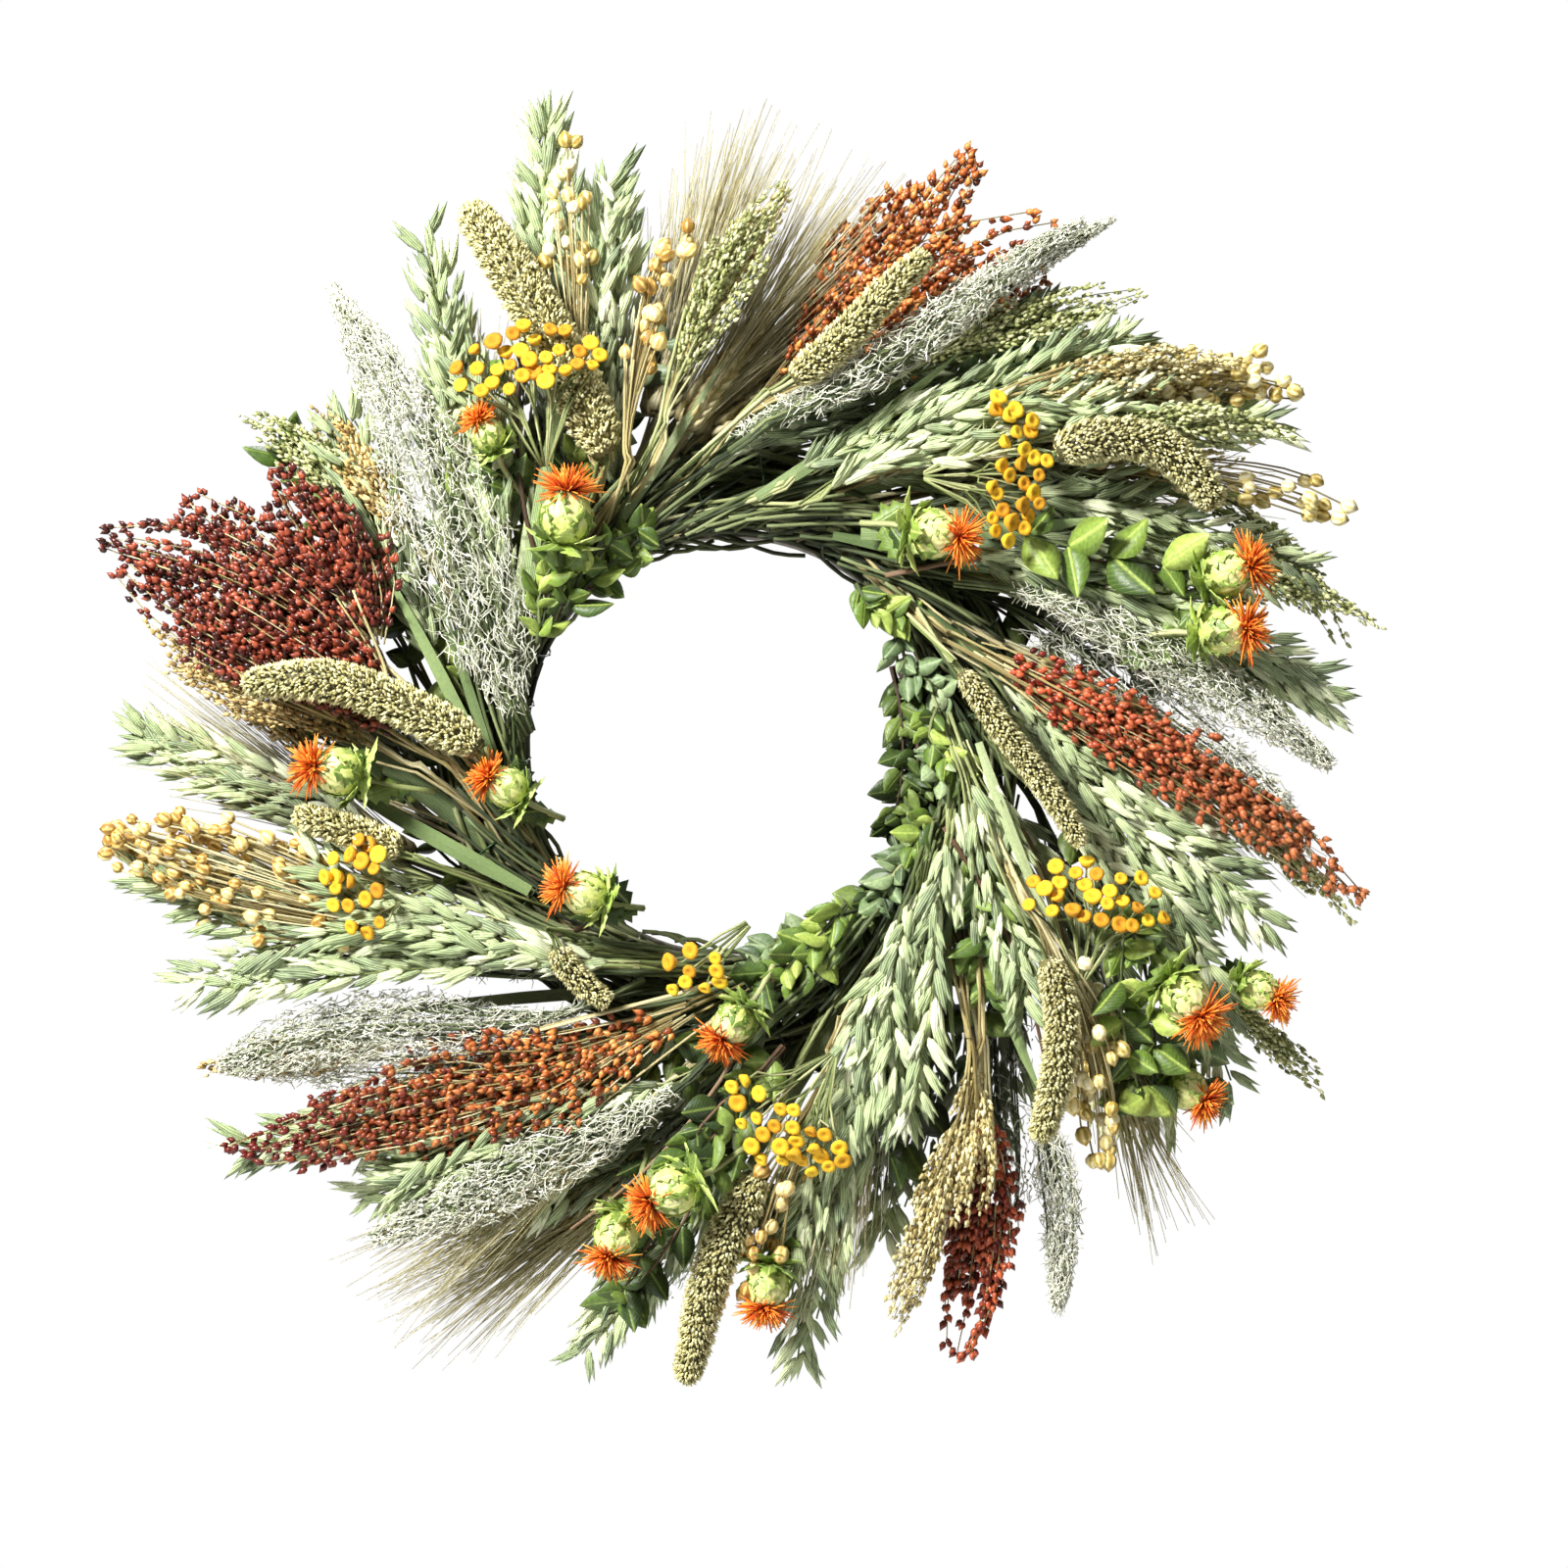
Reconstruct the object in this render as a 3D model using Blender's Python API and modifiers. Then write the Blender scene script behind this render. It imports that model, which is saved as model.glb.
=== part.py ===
"""Harvest door wreath: dried sprigs bound on a double-rail wire frame, with a swinging hanging loop.

The wreath hangs in the XZ plane and its front faces -Y. The origin is the hanging point, under the arch
of the hanging loop. Places on the wreath are given as a clock angle in degrees, clockwise from twelve as
seen from the front, and a reach in millimetres from the middle of the ring.
"""
import math

import bmesh
import bpy
from mathutils import Vector

MM = 0.001
COLLECTION = "harvest_door_wreath"

# Wire frame and hanging loop, millimetres
OUTER_RING = 119.0
INNER_RING = 93.0
RING_WIRE = 1.6
CROSSBAR_WIRE = 1.2
CROSSBAR_CLOCKS = (45, 135, 225, 315)
GAP = 0.35
LOOP_WIRE = 0.9
LOOP_HEIGHT = 38.0
LOOP_HALF_WIDTH = 6.0
EYE_RADIUS = 3.2
EYE_ADVANCE = 2.3
EYE_SWEEP = 320.0
EYE_STEPS = 10
ARCH_STEPS = 10
RING_STEPS = 40

# Everything is set out from the ring wires: the loop's legs stand at y = 0
RING_DEPTH = -EYE_RADIUS
CENTRE_Z = -(LOOP_HEIGHT + OUTER_RING)
CROSSBAR_DEPTH = RING_DEPTH - RING_WIRE - GAP - CROSSBAR_WIRE

# Rope of stem bundles and the wire that binds it
ROPE_REACH = 106.0
ROPE_RADIUS = 23.0
ROPE_DEPTH = -31.0
BUNDLES = 6
BUNDLE_STEPS = 9
BUNDLE_SQUARE_END = 0.3
BINDING_WIRE = 0.5
BINDING_TURNS = 18
BINDING_FIRST_TURN = 0.3
BINDING_RUN = 359.0
BINDING_CLEARANCE = 0.4
BINDING_ARC_POINTS = 9
BINDING_ARC_START = 25.0
BINDING_ARC_SWEEP = 230.0
BINDING_CORNER = 17.0

# Depth layers of the sprigs: middle and half thickness
LAYERS = {
    "back": (-15.0, 7.5),
    "low": (-32.5, 8.5),
    "middle": (-50.0, 7.5),
    "upper": (-66.0, 8.2),
    "front": (-84.5, 9.0),
    "hole": (-40.0, 12.0),
}
BEHIND_LAYERS = ("back", "low", "middle")
BEHIND_START = 133.5
SEARCH_STEP = 0.01
SHORTEST_LEG = 12.0

# The layers close up towards the door beyond this reach
DROOP_START = 190.0
DROOP_END = 300.0
DROOP = 0.3

# Kinds of plant: stem half width, where the head starts along the sprig, how blunt its tip is
KINDS = {
    "foxtail": (1.6, 0.30, 0.55, "foxtail_green"),
    "sorghum": (4.0, 0.35, 0.35, "sorghum_red"),
    "artemisia": (3.0, 0.15, 0.12, "artemisia_white"),
    "oats": (3.0, 0.25, 0.20, "oat_green"),
    "barley": (3.0, 0.30, 0.60, "barley_straw"),
    "millet": (2.5, 0.35, 0.25, "millet_cream"),
    "flax": (2.5, 0.45, 0.50, "flax_gold"),
    "greens": (3.0, 0.10, 0.30, "leaf_green"),
}
SPRIG_RESOLUTION = 1
STEM_STATIONS = 3
HEAD_STATIONS = 6

# A head swells over its first part and tapers from a later one, as shares of its length
HEAD_SWELLS_BY = 0.3
HEAD_TAPERS_FROM = 0.6
HEAD_TAPER_POWER = 1.5

# Sprigs: name, kind, layer, half width of the head, route from root to tip as (clock, reach)
SPRIGS = (
    ("foxtail_top_left", "foxtail", "upper", 10, ((-23, 128), (-23, 155), (-24, 203), (-26, 258))),
    ("foxtail_top", "foxtail", "front", 8, ((2, 140), (14, 170), (22, 224))),
    ("foxtail_right", "foxtail", "front", 10, ((48, 184), (50, 200), (54, 219), (60, 229), (64, 229))),
    ("foxtail_inner_right", "foxtail", "front", 6, ((64, 98), (74, 104), (90, 120), (106, 155))),
    ("foxtail_lower_right", "foxtail", "front", 8, ((120, 138), (124, 162), (130, 184), (142, 213))),
    ("foxtail_bottom", "foxtail", "upper", 10, ((168, 136), (178, 195), (182, 227), (184, 275))),
    ("foxtail_left", "foxtail", "front", 10, ((-96, 98), (-87, 118), (-81, 164), (-83, 207))),
    ("sorghum_orange", "sorghum", "middle", 32, ((-10, 134), (8, 170), (18, 215), (22, 278))),
    ("sorghum_red", "sorghum", "upper", 20, ((52, 96), (66, 106), (87, 162), (104, 280))),
    ("sorghum_rust", "sorghum", "middle", 25, ((129, 127), (149, 210), (160, 284))),
    ("sorghum_ember", "sorghum", "upper", 22, ((180, 106), (194, 124), (219, 195), (231, 280))),
    ("sorghum_maroon", "sorghum", "upper", 30, ((-97, 104), (-80, 140), (-72, 214), (-72, 284))),
    ("artemisia_left", "artemisia", "upper", 20, ((-88, 86), (-60, 123), (-46, 186), (-41, 262))),
    ("artemisia_top", "artemisia", "upper", 13, ((-5, 118), (20, 172), (29, 221), (36, 280))),
    ("artemisia_right", "artemisia", "middle", 17, ((62, 134), (84, 175), (99, 255))),
    ("artemisia_lower_left", "artemisia", "middle", 16, ((200, 130), (226, 190), (238, 262))),
    ("oats_top", "oats", "low", 16, ((-32, 134), (-22, 208), (-16, 296))),
    ("oats_top_right", "oats", "upper", 14, ((4, 98), (34, 170), (46, 258))),
    ("oats_right", "oats", "upper", 15, ((38, 106), (68, 170), (86, 265))),
    ("oats_inner_right", "oats", "upper", 12, ((86, 94), (112, 119), (134, 175))),
    ("oats_lower_right", "oats", "upper", 12, ((116, 94), (142, 122), (158, 190))),
    ("oats_left", "oats", "upper", 14, ((-150, 96), (-122, 165), (-112, 278))),
    ("oats_far_left", "oats", "low", 12, ((-118, 134), (-98, 189), (-86, 284))),
    ("barley_top", "barley", "low", 17, ((-14, 140), (-6, 190), (1, 252))),
    ("barley_bottom", "barley", "low", 17, ((170, 136), (196, 200), (208, 276))),
    ("millet_top", "millet", "upper", 12, ((-16, 116), (-4, 181), (6, 241))),
    ("millet_upper_right", "millet", "low", 16, ((26, 145), (40, 230), (56, 268))),
    ("millet_bottom", "millet", "upper", 15, ((134, 150), (152, 200), (165, 262))),
    ("millet_lower_right", "millet", "low", 13, ((110, 160), (117, 240), (120, 302))),
    ("flax_lower_right", "flax", "middle", 14, ((108, 134), (124, 176), (133, 214))),
    ("flax_left", "flax", "middle", 24, ((-128, 134), (-110, 195), (-99, 270))),
    ("greens_inner_right", "greens", "hole", 6, ((66, 74), (84, 73.5), (104, 74), (118, 75))),
)

TURNED_MERGE = 0.00005

# Safflowers: name, where the bud sits, the heading of its tuft and the length of its stem
SAFFLOWERS = (
    ("safflower_top_left", (-36, 118), 5, 18),
    ("safflower_upper_right", (44, 124), 100, 16),
    ("safflower_right_upper", (71, 223), 72, 20),
    ("safflower_right_lower", (77, 214), 85, 20),
    ("safflower_lower_right", (119, 221), 140, 20),
    ("safflower_bottom", (187, 190), 240, 18),
    ("safflower_left", (-94, 166), -78, 18),
    ("safflower_inner_lower_left", (-136, 88), -75, 12),
)
# The bud's outline as (radius, height) in tens of millimetres above the stem; the stem is the first unit
BUD_PROFILE = ((0.0, 0.0), (1.6, 0.0), (1.8, 1.0), (7.5, 1.15), (10.0, 1.75), (8.6, 2.45), (4.5, 2.75),
               (8.0, 3.7), (9.0, 4.4), (0.0, 4.6))
BUD_UNIT = 10.0
BUD_MIDDLE = 1.75
BUD_WIDTH = 10.0
BUD_STEPS = 8

# Tansies: name, where the umbel sits, its heading, half width and the length of its stem
TANSIES = (
    ("tansy_top_left", (-28, 184), -10, 32, 34),
    ("tansy_right", (46, 166), 88, 30, 26),
    ("tansy_lower_right", (113, 168), 8, 26, 22),
    ("tansy_bottom", (172, 164), 215, 26, 26),
    ("tansy_left", (-111, 166), -92, 20, 18),
)
# The umbel's outline: stem radii in millimetres up to its foot, then shares of the half width
UMBEL_PROFILE = ((0.0, 0.0), (2.0, 0.0), (2.6, 0.55), (0.62, 0.72), (1.0, 0.86), (0.85, 1.0), (0.0, 1.06))
UMBEL_FOOT = 0.55
UMBEL_THICKNESS = 18.0
UMBEL_MIDDLE = 0.6
UMBEL_STEPS = 10

COLOURS = {
    "galvanised_wire": ((0.42, 0.40, 0.37), 0.45, 0.9),
    "green_wire": ((0.06, 0.12, 0.05), 0.4, 0.3),
    "stem_straw": ((0.42, 0.40, 0.20), 0.8, 0.0),
    "foxtail_green": ((0.36, 0.36, 0.16), 0.8, 0.0),
    "sorghum_red": ((0.35, 0.08, 0.03), 0.4, 0.0),
    "artemisia_white": ((0.55, 0.55, 0.46), 0.9, 0.0),
    "oat_green": ((0.38, 0.44, 0.26), 0.7, 0.0),
    "barley_straw": ((0.50, 0.42, 0.22), 0.75, 0.0),
    "millet_cream": ((0.55, 0.50, 0.26), 0.7, 0.0),
    "flax_gold": ((0.60, 0.44, 0.18), 0.6, 0.0),
    "leaf_green": ((0.10, 0.22, 0.04), 0.5, 0.0),
    "safflower_orange": ((0.75, 0.22, 0.03), 0.7, 0.0),
    "tansy_yellow": ((0.72, 0.42, 0.03), 0.7, 0.0),
}


def clear_scene():
    """Remove every object of the opened scene."""
    for old in list(bpy.data.objects):
        bpy.data.objects.remove(old, do_unlink=True)


def material(name):
    """A plain Principled material with the colour, roughness and metallic value of its kind."""
    if name in bpy.data.materials:
        return bpy.data.materials[name]
    colour, roughness, metallic = COLOURS[name]
    made = bpy.data.materials.new(name)
    made.use_nodes = True
    shader = made.node_tree.nodes["Principled BSDF"]
    shader.inputs["Base Color"].default_value = (*colour, 1.0)
    shader.inputs["Roughness"].default_value = roughness
    shader.inputs["Metallic"].default_value = metallic
    return made


def place(clock, reach, depth):
    """The point at a clock angle and reach (mm) on the wreath, depth (mm) from the origin's plane."""
    angle = math.radians(clock)
    return Vector((reach * math.sin(angle), depth, CENTRE_Z + reach * math.cos(angle))) * MM


def add_object(name, data, finish, parts):
    """Link a new object with its material."""
    made = bpy.data.objects.new(name, data)
    data.materials.append(material(finish))
    parts.objects.link(made)
    return made


def wire(name, points, radius, finish, parts, resolution=2, radii=None, cyclic=False):
    """A round wire or tube through the points (metres), with a thickness factor for each point."""
    curve = bpy.data.curves.new(name, "CURVE")
    curve.dimensions = "3D"
    curve.bevel_depth = radius * MM
    curve.bevel_resolution = resolution
    curve.use_fill_caps = not cyclic
    spline = curve.splines.new("POLY")
    spline.points.add(len(points) - 1)
    for index, point in enumerate(points):
        spline.points[index].co = (*point, 1.0)
        spline.points[index].radius = radii[index] if radii else 1.0
    spline.use_cyclic_u = cyclic
    return add_object(name, curve, finish, parts)


def frame_ring(name, reach, parts):
    """One rail of the frame, a closed ring of wire."""
    points = [place(360.0 * step / RING_STEPS, reach, RING_DEPTH) for step in range(RING_STEPS)]
    return wire(name, points, RING_WIRE, "galvanised_wire", parts, resolution=1, cyclic=True)


def crossbars(parts):
    """Short wires across the front of both rails."""
    for index, clock in enumerate(CROSSBAR_CLOCKS):
        ends = (INNER_RING - RING_WIRE, OUTER_RING + RING_WIRE)
        points = [place(clock, reach, CROSSBAR_DEPTH) for reach in ends]
        wire(f"frame_crossbar_{index + 1}", points, CROSSBAR_WIRE, "galvanised_wire", parts)


def eye_points(side):
    """One eye of the hanging loop: most of a turn round the outer rail, moving outwards as it goes."""
    axis = place(0, OUTER_RING, RING_DEPTH)
    points = []
    for step in range(EYE_STEPS + 1):
        share = step / EYE_STEPS
        angle = -share * math.radians(EYE_SWEEP)
        across = side * (LOOP_HALF_WIDTH + EYE_ADVANCE * share) * MM
        around = Vector((across, math.cos(angle) * EYE_RADIUS * MM, math.sin(angle) * EYE_RADIUS * MM))
        points.append(axis + around)
    return points


def hanging_loop(parts):
    """Wire loop with an eye on each leg; its origin is on the hinge axis, the top of the outer rail."""
    axis = place(0, OUTER_RING, RING_DEPTH)
    arch_centre = (LOOP_WIRE - LOOP_HALF_WIDTH) * MM
    arch = []
    for step in range(ARCH_STEPS + 1):
        angle = math.pi * step / ARCH_STEPS
        across = math.cos(angle) * LOOP_HALF_WIDTH * MM
        arch.append(Vector((across, 0.0, arch_centre + math.sin(angle) * LOOP_HALF_WIDTH * MM)))
    right_eye = eye_points(1.0)
    left_eye = eye_points(-1.0)
    points = list(reversed(right_eye)) + arch + left_eye
    local = [point - axis for point in points]
    made = wire("hanging_loop", local, LOOP_WIRE, "galvanised_wire", parts)
    made.location = axis
    return made


def stem_bundles(parts):
    """The rope of stems: bundles laid end to end round the frame."""
    gap_angle = math.degrees(GAP / (ROPE_REACH - ROPE_RADIUS))
    span = 360.0 / BUNDLES
    for index in range(BUNDLES):
        start = index * span + gap_angle
        end = (index + 1) * span - gap_angle
        clocks = [start + (end - start) * step / BUNDLE_STEPS for step in range(BUNDLE_STEPS + 1)]
        clocks.insert(1, start + BUNDLE_SQUARE_END)
        clocks.insert(-1, end - BUNDLE_SQUARE_END)
        points = [place(clock, ROPE_REACH, ROPE_DEPTH) for clock in clocks]
        wire(f"stem_bundle_{index + 1}", points, ROPE_RADIUS, "stem_straw", parts, resolution=3)


def binding_section():
    """One turn of the binding wire as (reach, depth): round the rope's front, flat behind the rails."""
    radius = ROPE_RADIUS + GAP + 2.0 * BINDING_WIRE + BINDING_CLEARANCE
    back = RING_DEPTH + RING_WIRE + GAP + BINDING_WIRE
    section = []
    for step in range(BINDING_ARC_POINTS):
        angle = math.radians(BINDING_ARC_START - BINDING_ARC_SWEEP * step / (BINDING_ARC_POINTS - 1))
        section.append((ROPE_REACH + radius * math.cos(angle), ROPE_DEPTH + radius * math.sin(angle)))
    section.append((ROPE_REACH - BINDING_CORNER, back))
    section.append((ROPE_REACH, back))
    section.append((ROPE_REACH + BINDING_CORNER, back))
    return section


def binding_wire(parts):
    """One continuous wire wound round the frame and the rope."""
    section = binding_section()
    count = BINDING_TURNS * len(section)
    first_clock = -BINDING_FIRST_TURN * 360.0 / BINDING_TURNS
    points = []
    for index in range(count):
        reach, depth = section[index % len(section)]
        clock = first_clock + BINDING_RUN * index / count
        points.append(place(clock, reach, depth))
    return wire("binding_wire", points, BINDING_WIRE, "green_wire", parts, resolution=1)


def smooth_route(route, share):
    """The route's (clock, reach) at a share of its length in stations, by a Catmull-Rom curve."""
    last = len(route) - 1
    position = min(share * last, last - 1e-6)
    index = int(position)
    t = position - index
    before = route[max(index - 1, 0)]
    start = route[index]
    end = route[index + 1]
    after = route[min(index + 2, last)]
    result = []
    for a, b, c, d in zip(before, start, end, after):
        bend = 2 * a - 5 * b + 4 * c - d
        twist = 3 * b - a - 3 * c + d
        result.append(0.5 * (2 * b + (c - a) * t + bend * t * t + twist * t ** 3))
    return result


def trimmed_route(route, layer):
    """Sprigs behind the front layers start outside the rope."""
    if layer not in BEHIND_LAYERS:
        return route
    share = 0.0
    while smooth_route(route, share)[1] < BEHIND_START:
        share += SEARCH_STEP
    first = smooth_route(route, share)
    return (tuple(first),) + tuple(stop for stop in route if stop[1] > first[1] + SHORTEST_LEG)


def droop(reach):
    """How far the layers have closed up towards the door at this reach."""
    share = min(max((reach - DROOP_START) / (DROOP_END - DROOP_START), 0.0), 1.0)
    return 1.0 - DROOP * share * share * (3.0 - 2.0 * share)


def head_profile(share, stem, half_width, blunt):
    """Half width of a head from its first station (0) to its tip (1)."""
    rise = min(share / HEAD_SWELLS_BY, 1.0)
    fall = max((share - HEAD_TAPERS_FROM) / (1.0 - HEAD_TAPERS_FROM), 0.0)
    width = stem + (half_width - stem) * math.sin(rise * math.pi / 2)
    return width * (1.0 - (1.0 - blunt) * fall ** HEAD_TAPER_POWER)


def sprig(name, kind, layer, half_width, route, parts):
    """A stem that swells into a head, flattened to fit its depth layer."""
    stem, head_start, blunt, finish = KINDS[kind]
    middle, half_depth = LAYERS[layer]
    flatness = min(1.0, half_depth / half_width)
    path = trimmed_route(route, layer)
    stations = STEM_STATIONS + HEAD_STATIONS
    shares = [head_start * step / STEM_STATIONS for step in range(STEM_STATIONS)]
    shares += [head_start + (1 - head_start) * step / HEAD_STATIONS for step in range(HEAD_STATIONS + 1)]
    points = []
    radii = []
    for index, share in enumerate(shares):
        clock, reach = smooth_route(path, share)
        point = place(clock, reach, middle * droop(reach))
        point.y /= flatness
        points.append(point)
        head_share = max(0.0, (index - STEM_STATIONS) / (stations - STEM_STATIONS))
        radii.append(head_profile(head_share, stem, half_width, blunt) * droop(reach))
    made = wire(name, points, 1.0, finish, parts, resolution=SPRIG_RESOLUTION, radii=radii)
    made.scale.y = flatness
    return made


def turned_head(name, profile, steps, base, heading, flatness, finish, parts):
    """A turned stem and head, standing on its base point and pointing along a clock heading."""
    mesh = bpy.data.meshes.new(name)
    outline = bmesh.new()
    corners = [outline.verts.new((radius * MM, 0.0, height * MM)) for radius, height in reversed(profile)]
    for start, end in zip(corners, corners[1:]):
        outline.edges.new((start, end))
    outline.to_mesh(mesh)
    outline.free()
    made = add_object(name, mesh, finish, parts)
    screw = made.modifiers.new("turn", "SCREW")
    screw.axis = "Z"
    screw.steps = steps
    screw.render_steps = steps
    screw.use_merge_vertices = True
    screw.merge_threshold = TURNED_MERGE
    made.location = base
    made.rotation_euler = (0.0, math.radians(heading), 0.0)
    made.scale.y = flatness
    return made


def safflowers(parts):
    """Green buds with their tufts, on short stems, in the front layer."""
    middle, half_depth = LAYERS["front"]
    for name, (clock, reach), heading, stem in SAFFLOWERS:
        profile = []
        for radius, height in BUD_PROFILE:
            along = height * BUD_UNIT if height <= 1.0 else height * BUD_UNIT + stem
            profile.append((radius, along - (BUD_UNIT * BUD_MIDDLE + stem)))
        base = place(clock, reach, middle * droop(reach))
        flatness = min(1.0, half_depth / BUD_WIDTH)
        turned_head(name, profile, BUD_STEPS, base, heading, flatness, "safflower_orange", parts)


def tansies(parts):
    """Flat-topped umbels of yellow buttons on a tapering stem, in the front layer."""
    middle, half_depth = LAYERS["front"]
    for name, (clock, reach), heading, half_width, stem in TANSIES:
        profile = []
        for radius, height in UMBEL_PROFILE:
            if height <= UMBEL_FOOT:
                across = radius
                along = height / UMBEL_FOOT * stem
            else:
                across = radius * half_width
                along = stem + (height - UMBEL_FOOT) * 2.0 * UMBEL_THICKNESS
            profile.append((across, along - stem - UMBEL_MIDDLE * UMBEL_THICKNESS))
        base = place(clock, reach, middle * droop(reach))
        turned_head(name, profile, UMBEL_STEPS, base, heading, half_depth / half_width, "tansy_yellow", parts)


def build():
    """Make the whole wreath."""
    clear_scene()
    parts = bpy.data.collections.new(COLLECTION)
    bpy.context.scene.collection.children.link(parts)
    frame_ring("frame_outer_ring", OUTER_RING, parts)
    frame_ring("frame_inner_ring", INNER_RING, parts)
    crossbars(parts)
    hanging_loop(parts)
    stem_bundles(parts)
    binding_wire(parts)
    for name, kind, layer, half_width, route in SPRIGS:
        sprig(name, kind, layer, half_width, route, parts)
    safflowers(parts)
    tansies(parts)


build()
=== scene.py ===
"""Harvest door wreath: dried grains, flowers and leaves bound on a wire frame, hung by a wire loop.

Each sprig is one piece. Its husks, grains, pods, buttons or florets are modelled once and copied along the
sprig's route. A place is a clock angle in degrees, clockwise from twelve as seen from the front, a reach
from the middle of the ring and a depth in front of the hanging loop, both in millimetres.
"""
import math

import bmesh
import bpy
import numpy as np
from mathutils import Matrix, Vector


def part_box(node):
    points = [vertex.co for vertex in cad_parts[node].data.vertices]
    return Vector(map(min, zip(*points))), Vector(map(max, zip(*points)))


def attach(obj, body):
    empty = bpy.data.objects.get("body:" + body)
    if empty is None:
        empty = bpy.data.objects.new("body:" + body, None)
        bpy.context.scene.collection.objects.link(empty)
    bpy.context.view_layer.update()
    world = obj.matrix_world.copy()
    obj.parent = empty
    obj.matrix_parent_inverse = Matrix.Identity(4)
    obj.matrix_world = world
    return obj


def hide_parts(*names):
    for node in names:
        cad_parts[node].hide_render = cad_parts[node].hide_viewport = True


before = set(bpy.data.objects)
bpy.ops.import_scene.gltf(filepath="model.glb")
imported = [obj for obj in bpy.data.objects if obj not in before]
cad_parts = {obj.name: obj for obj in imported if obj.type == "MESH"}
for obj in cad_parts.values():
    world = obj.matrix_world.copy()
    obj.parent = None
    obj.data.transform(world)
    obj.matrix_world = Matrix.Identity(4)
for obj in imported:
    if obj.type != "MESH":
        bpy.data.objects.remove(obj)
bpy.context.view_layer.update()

MM = 0.001
RING_LOW, RING_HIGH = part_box("frame_outer_ring")
RING_MIDDLE = (RING_LOW + RING_HIGH) / 2.0
ROPE_LOW, ROPE_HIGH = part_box("stem_bundle_1")
ROPE_MIDDLE = (ROPE_LOW.y + ROPE_HIGH.y) / 2.0 / MM
ROPE_RADIUS = (ROPE_HIGH.y - ROPE_LOW.y) / 2.0 / MM
OUTER_RING = (RING_HIGH.x - RING_LOW.x) / 2.0 / MM
ROPE_REACH = OUTER_RING - 14.0
VIEWER = np.array((0.0, -1.0, 0.0))
SPRIG_SIDES = 6
DROOP_START = 190.0
DROOP_END = 300.0
DROOP = 0.3


# ---------------------------------------------------------------- places and routes

def place(clock, reach, depth):
    """Points in metres from clock angles, reaches and depths, single or in arrays."""
    angle = np.radians(clock)
    across = RING_MIDDLE.x + reach * np.sin(angle) * MM
    up = RING_MIDDLE.z + reach * np.cos(angle) * MM
    return np.stack(np.broadcast_arrays(across, depth * MM, up), axis=-1)


def clock_of(point):
    """The clock angle of a point."""
    return math.degrees(math.atan2(point[0] - RING_MIDDLE.x, point[2] - RING_MIDDLE.z))


def reach_of(point):
    """The reach of a point, in millimetres."""
    return math.hypot(point[0] - RING_MIDDLE.x, point[2] - RING_MIDDLE.z) / MM


def unit(vectors):
    """Vectors made one long."""
    return vectors / np.maximum(np.linalg.norm(vectors, axis=-1, keepdims=True), 1e-12)


def smooth(stops, count):
    """A Catmull-Rom curve through stops, (stops, dims) or (lines, stops, dims), read at even stations."""
    stops = np.asarray(stops, float)
    last = stops.shape[-2] - 1
    position = np.minimum(np.linspace(0.0, last, count), last - 1e-6)
    index = position.astype(int)
    t = (position - index)[:, None]
    before = stops[..., np.maximum(index - 1, 0), :]
    start = stops[..., index, :]
    end = stops[..., index + 1, :]
    after = stops[..., np.minimum(index + 2, last), :]
    bend = 2 * before - 5 * start + 4 * end - after
    twist = 3 * start - before - 3 * end + after
    return 0.5 * (2 * start + (end - before) * t + bend * t ** 2 + twist * t ** 3)


def droop(reach):
    """The layers close up towards the door at the tips."""
    share = np.clip((reach - DROOP_START) / (DROOP_END - DROOP_START), 0.0, 1.0)
    return 1.0 - DROOP * share * share * (3.0 - 2.0 * share)


class Route:
    """The line a sprig follows from root to tip, with its half width and half depth on the way."""

    def __init__(self, points, widths, depths, head):
        steps = np.linalg.norm(np.diff(points, axis=0), axis=1)
        run = np.concatenate(([0.0], np.cumsum(steps)))
        self.length = run[-1]
        self.share = run / run[-1]
        self.points = points
        self.widths = widths
        self.depths = depths
        self.head = head
        self.head_length = self.length * (1.0 - head)
        self.head_width = float(widths.max())

    def along(self, share):
        """Middle points at shares of the length."""
        share = np.asarray(share, float)
        return np.stack([np.interp(share, self.share, self.points[:, axis]) for axis in range(3)], axis=-1)

    def heading(self, share):
        """Directions of the route, towards its tip."""
        share = np.asarray(share, float)
        return unit(self.along(np.minimum(share + 0.03, 1.0)) - self.along(np.maximum(share - 0.03, 0.0)))

    def inside(self, share, across, out):
        """Points in the sprig's body: across and out run from -1 to 1 over its width and depth."""
        share = np.asarray(share, float)
        heading = self.heading(share)
        side = unit(np.cross(VIEWER, heading))
        front = np.cross(heading, side)
        width = np.interp(share, self.share, self.widths) * across
        depth = np.interp(share, self.share, self.depths) * out
        return self.along(share) + side * width[..., None] + front * depth[..., None]


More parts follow.
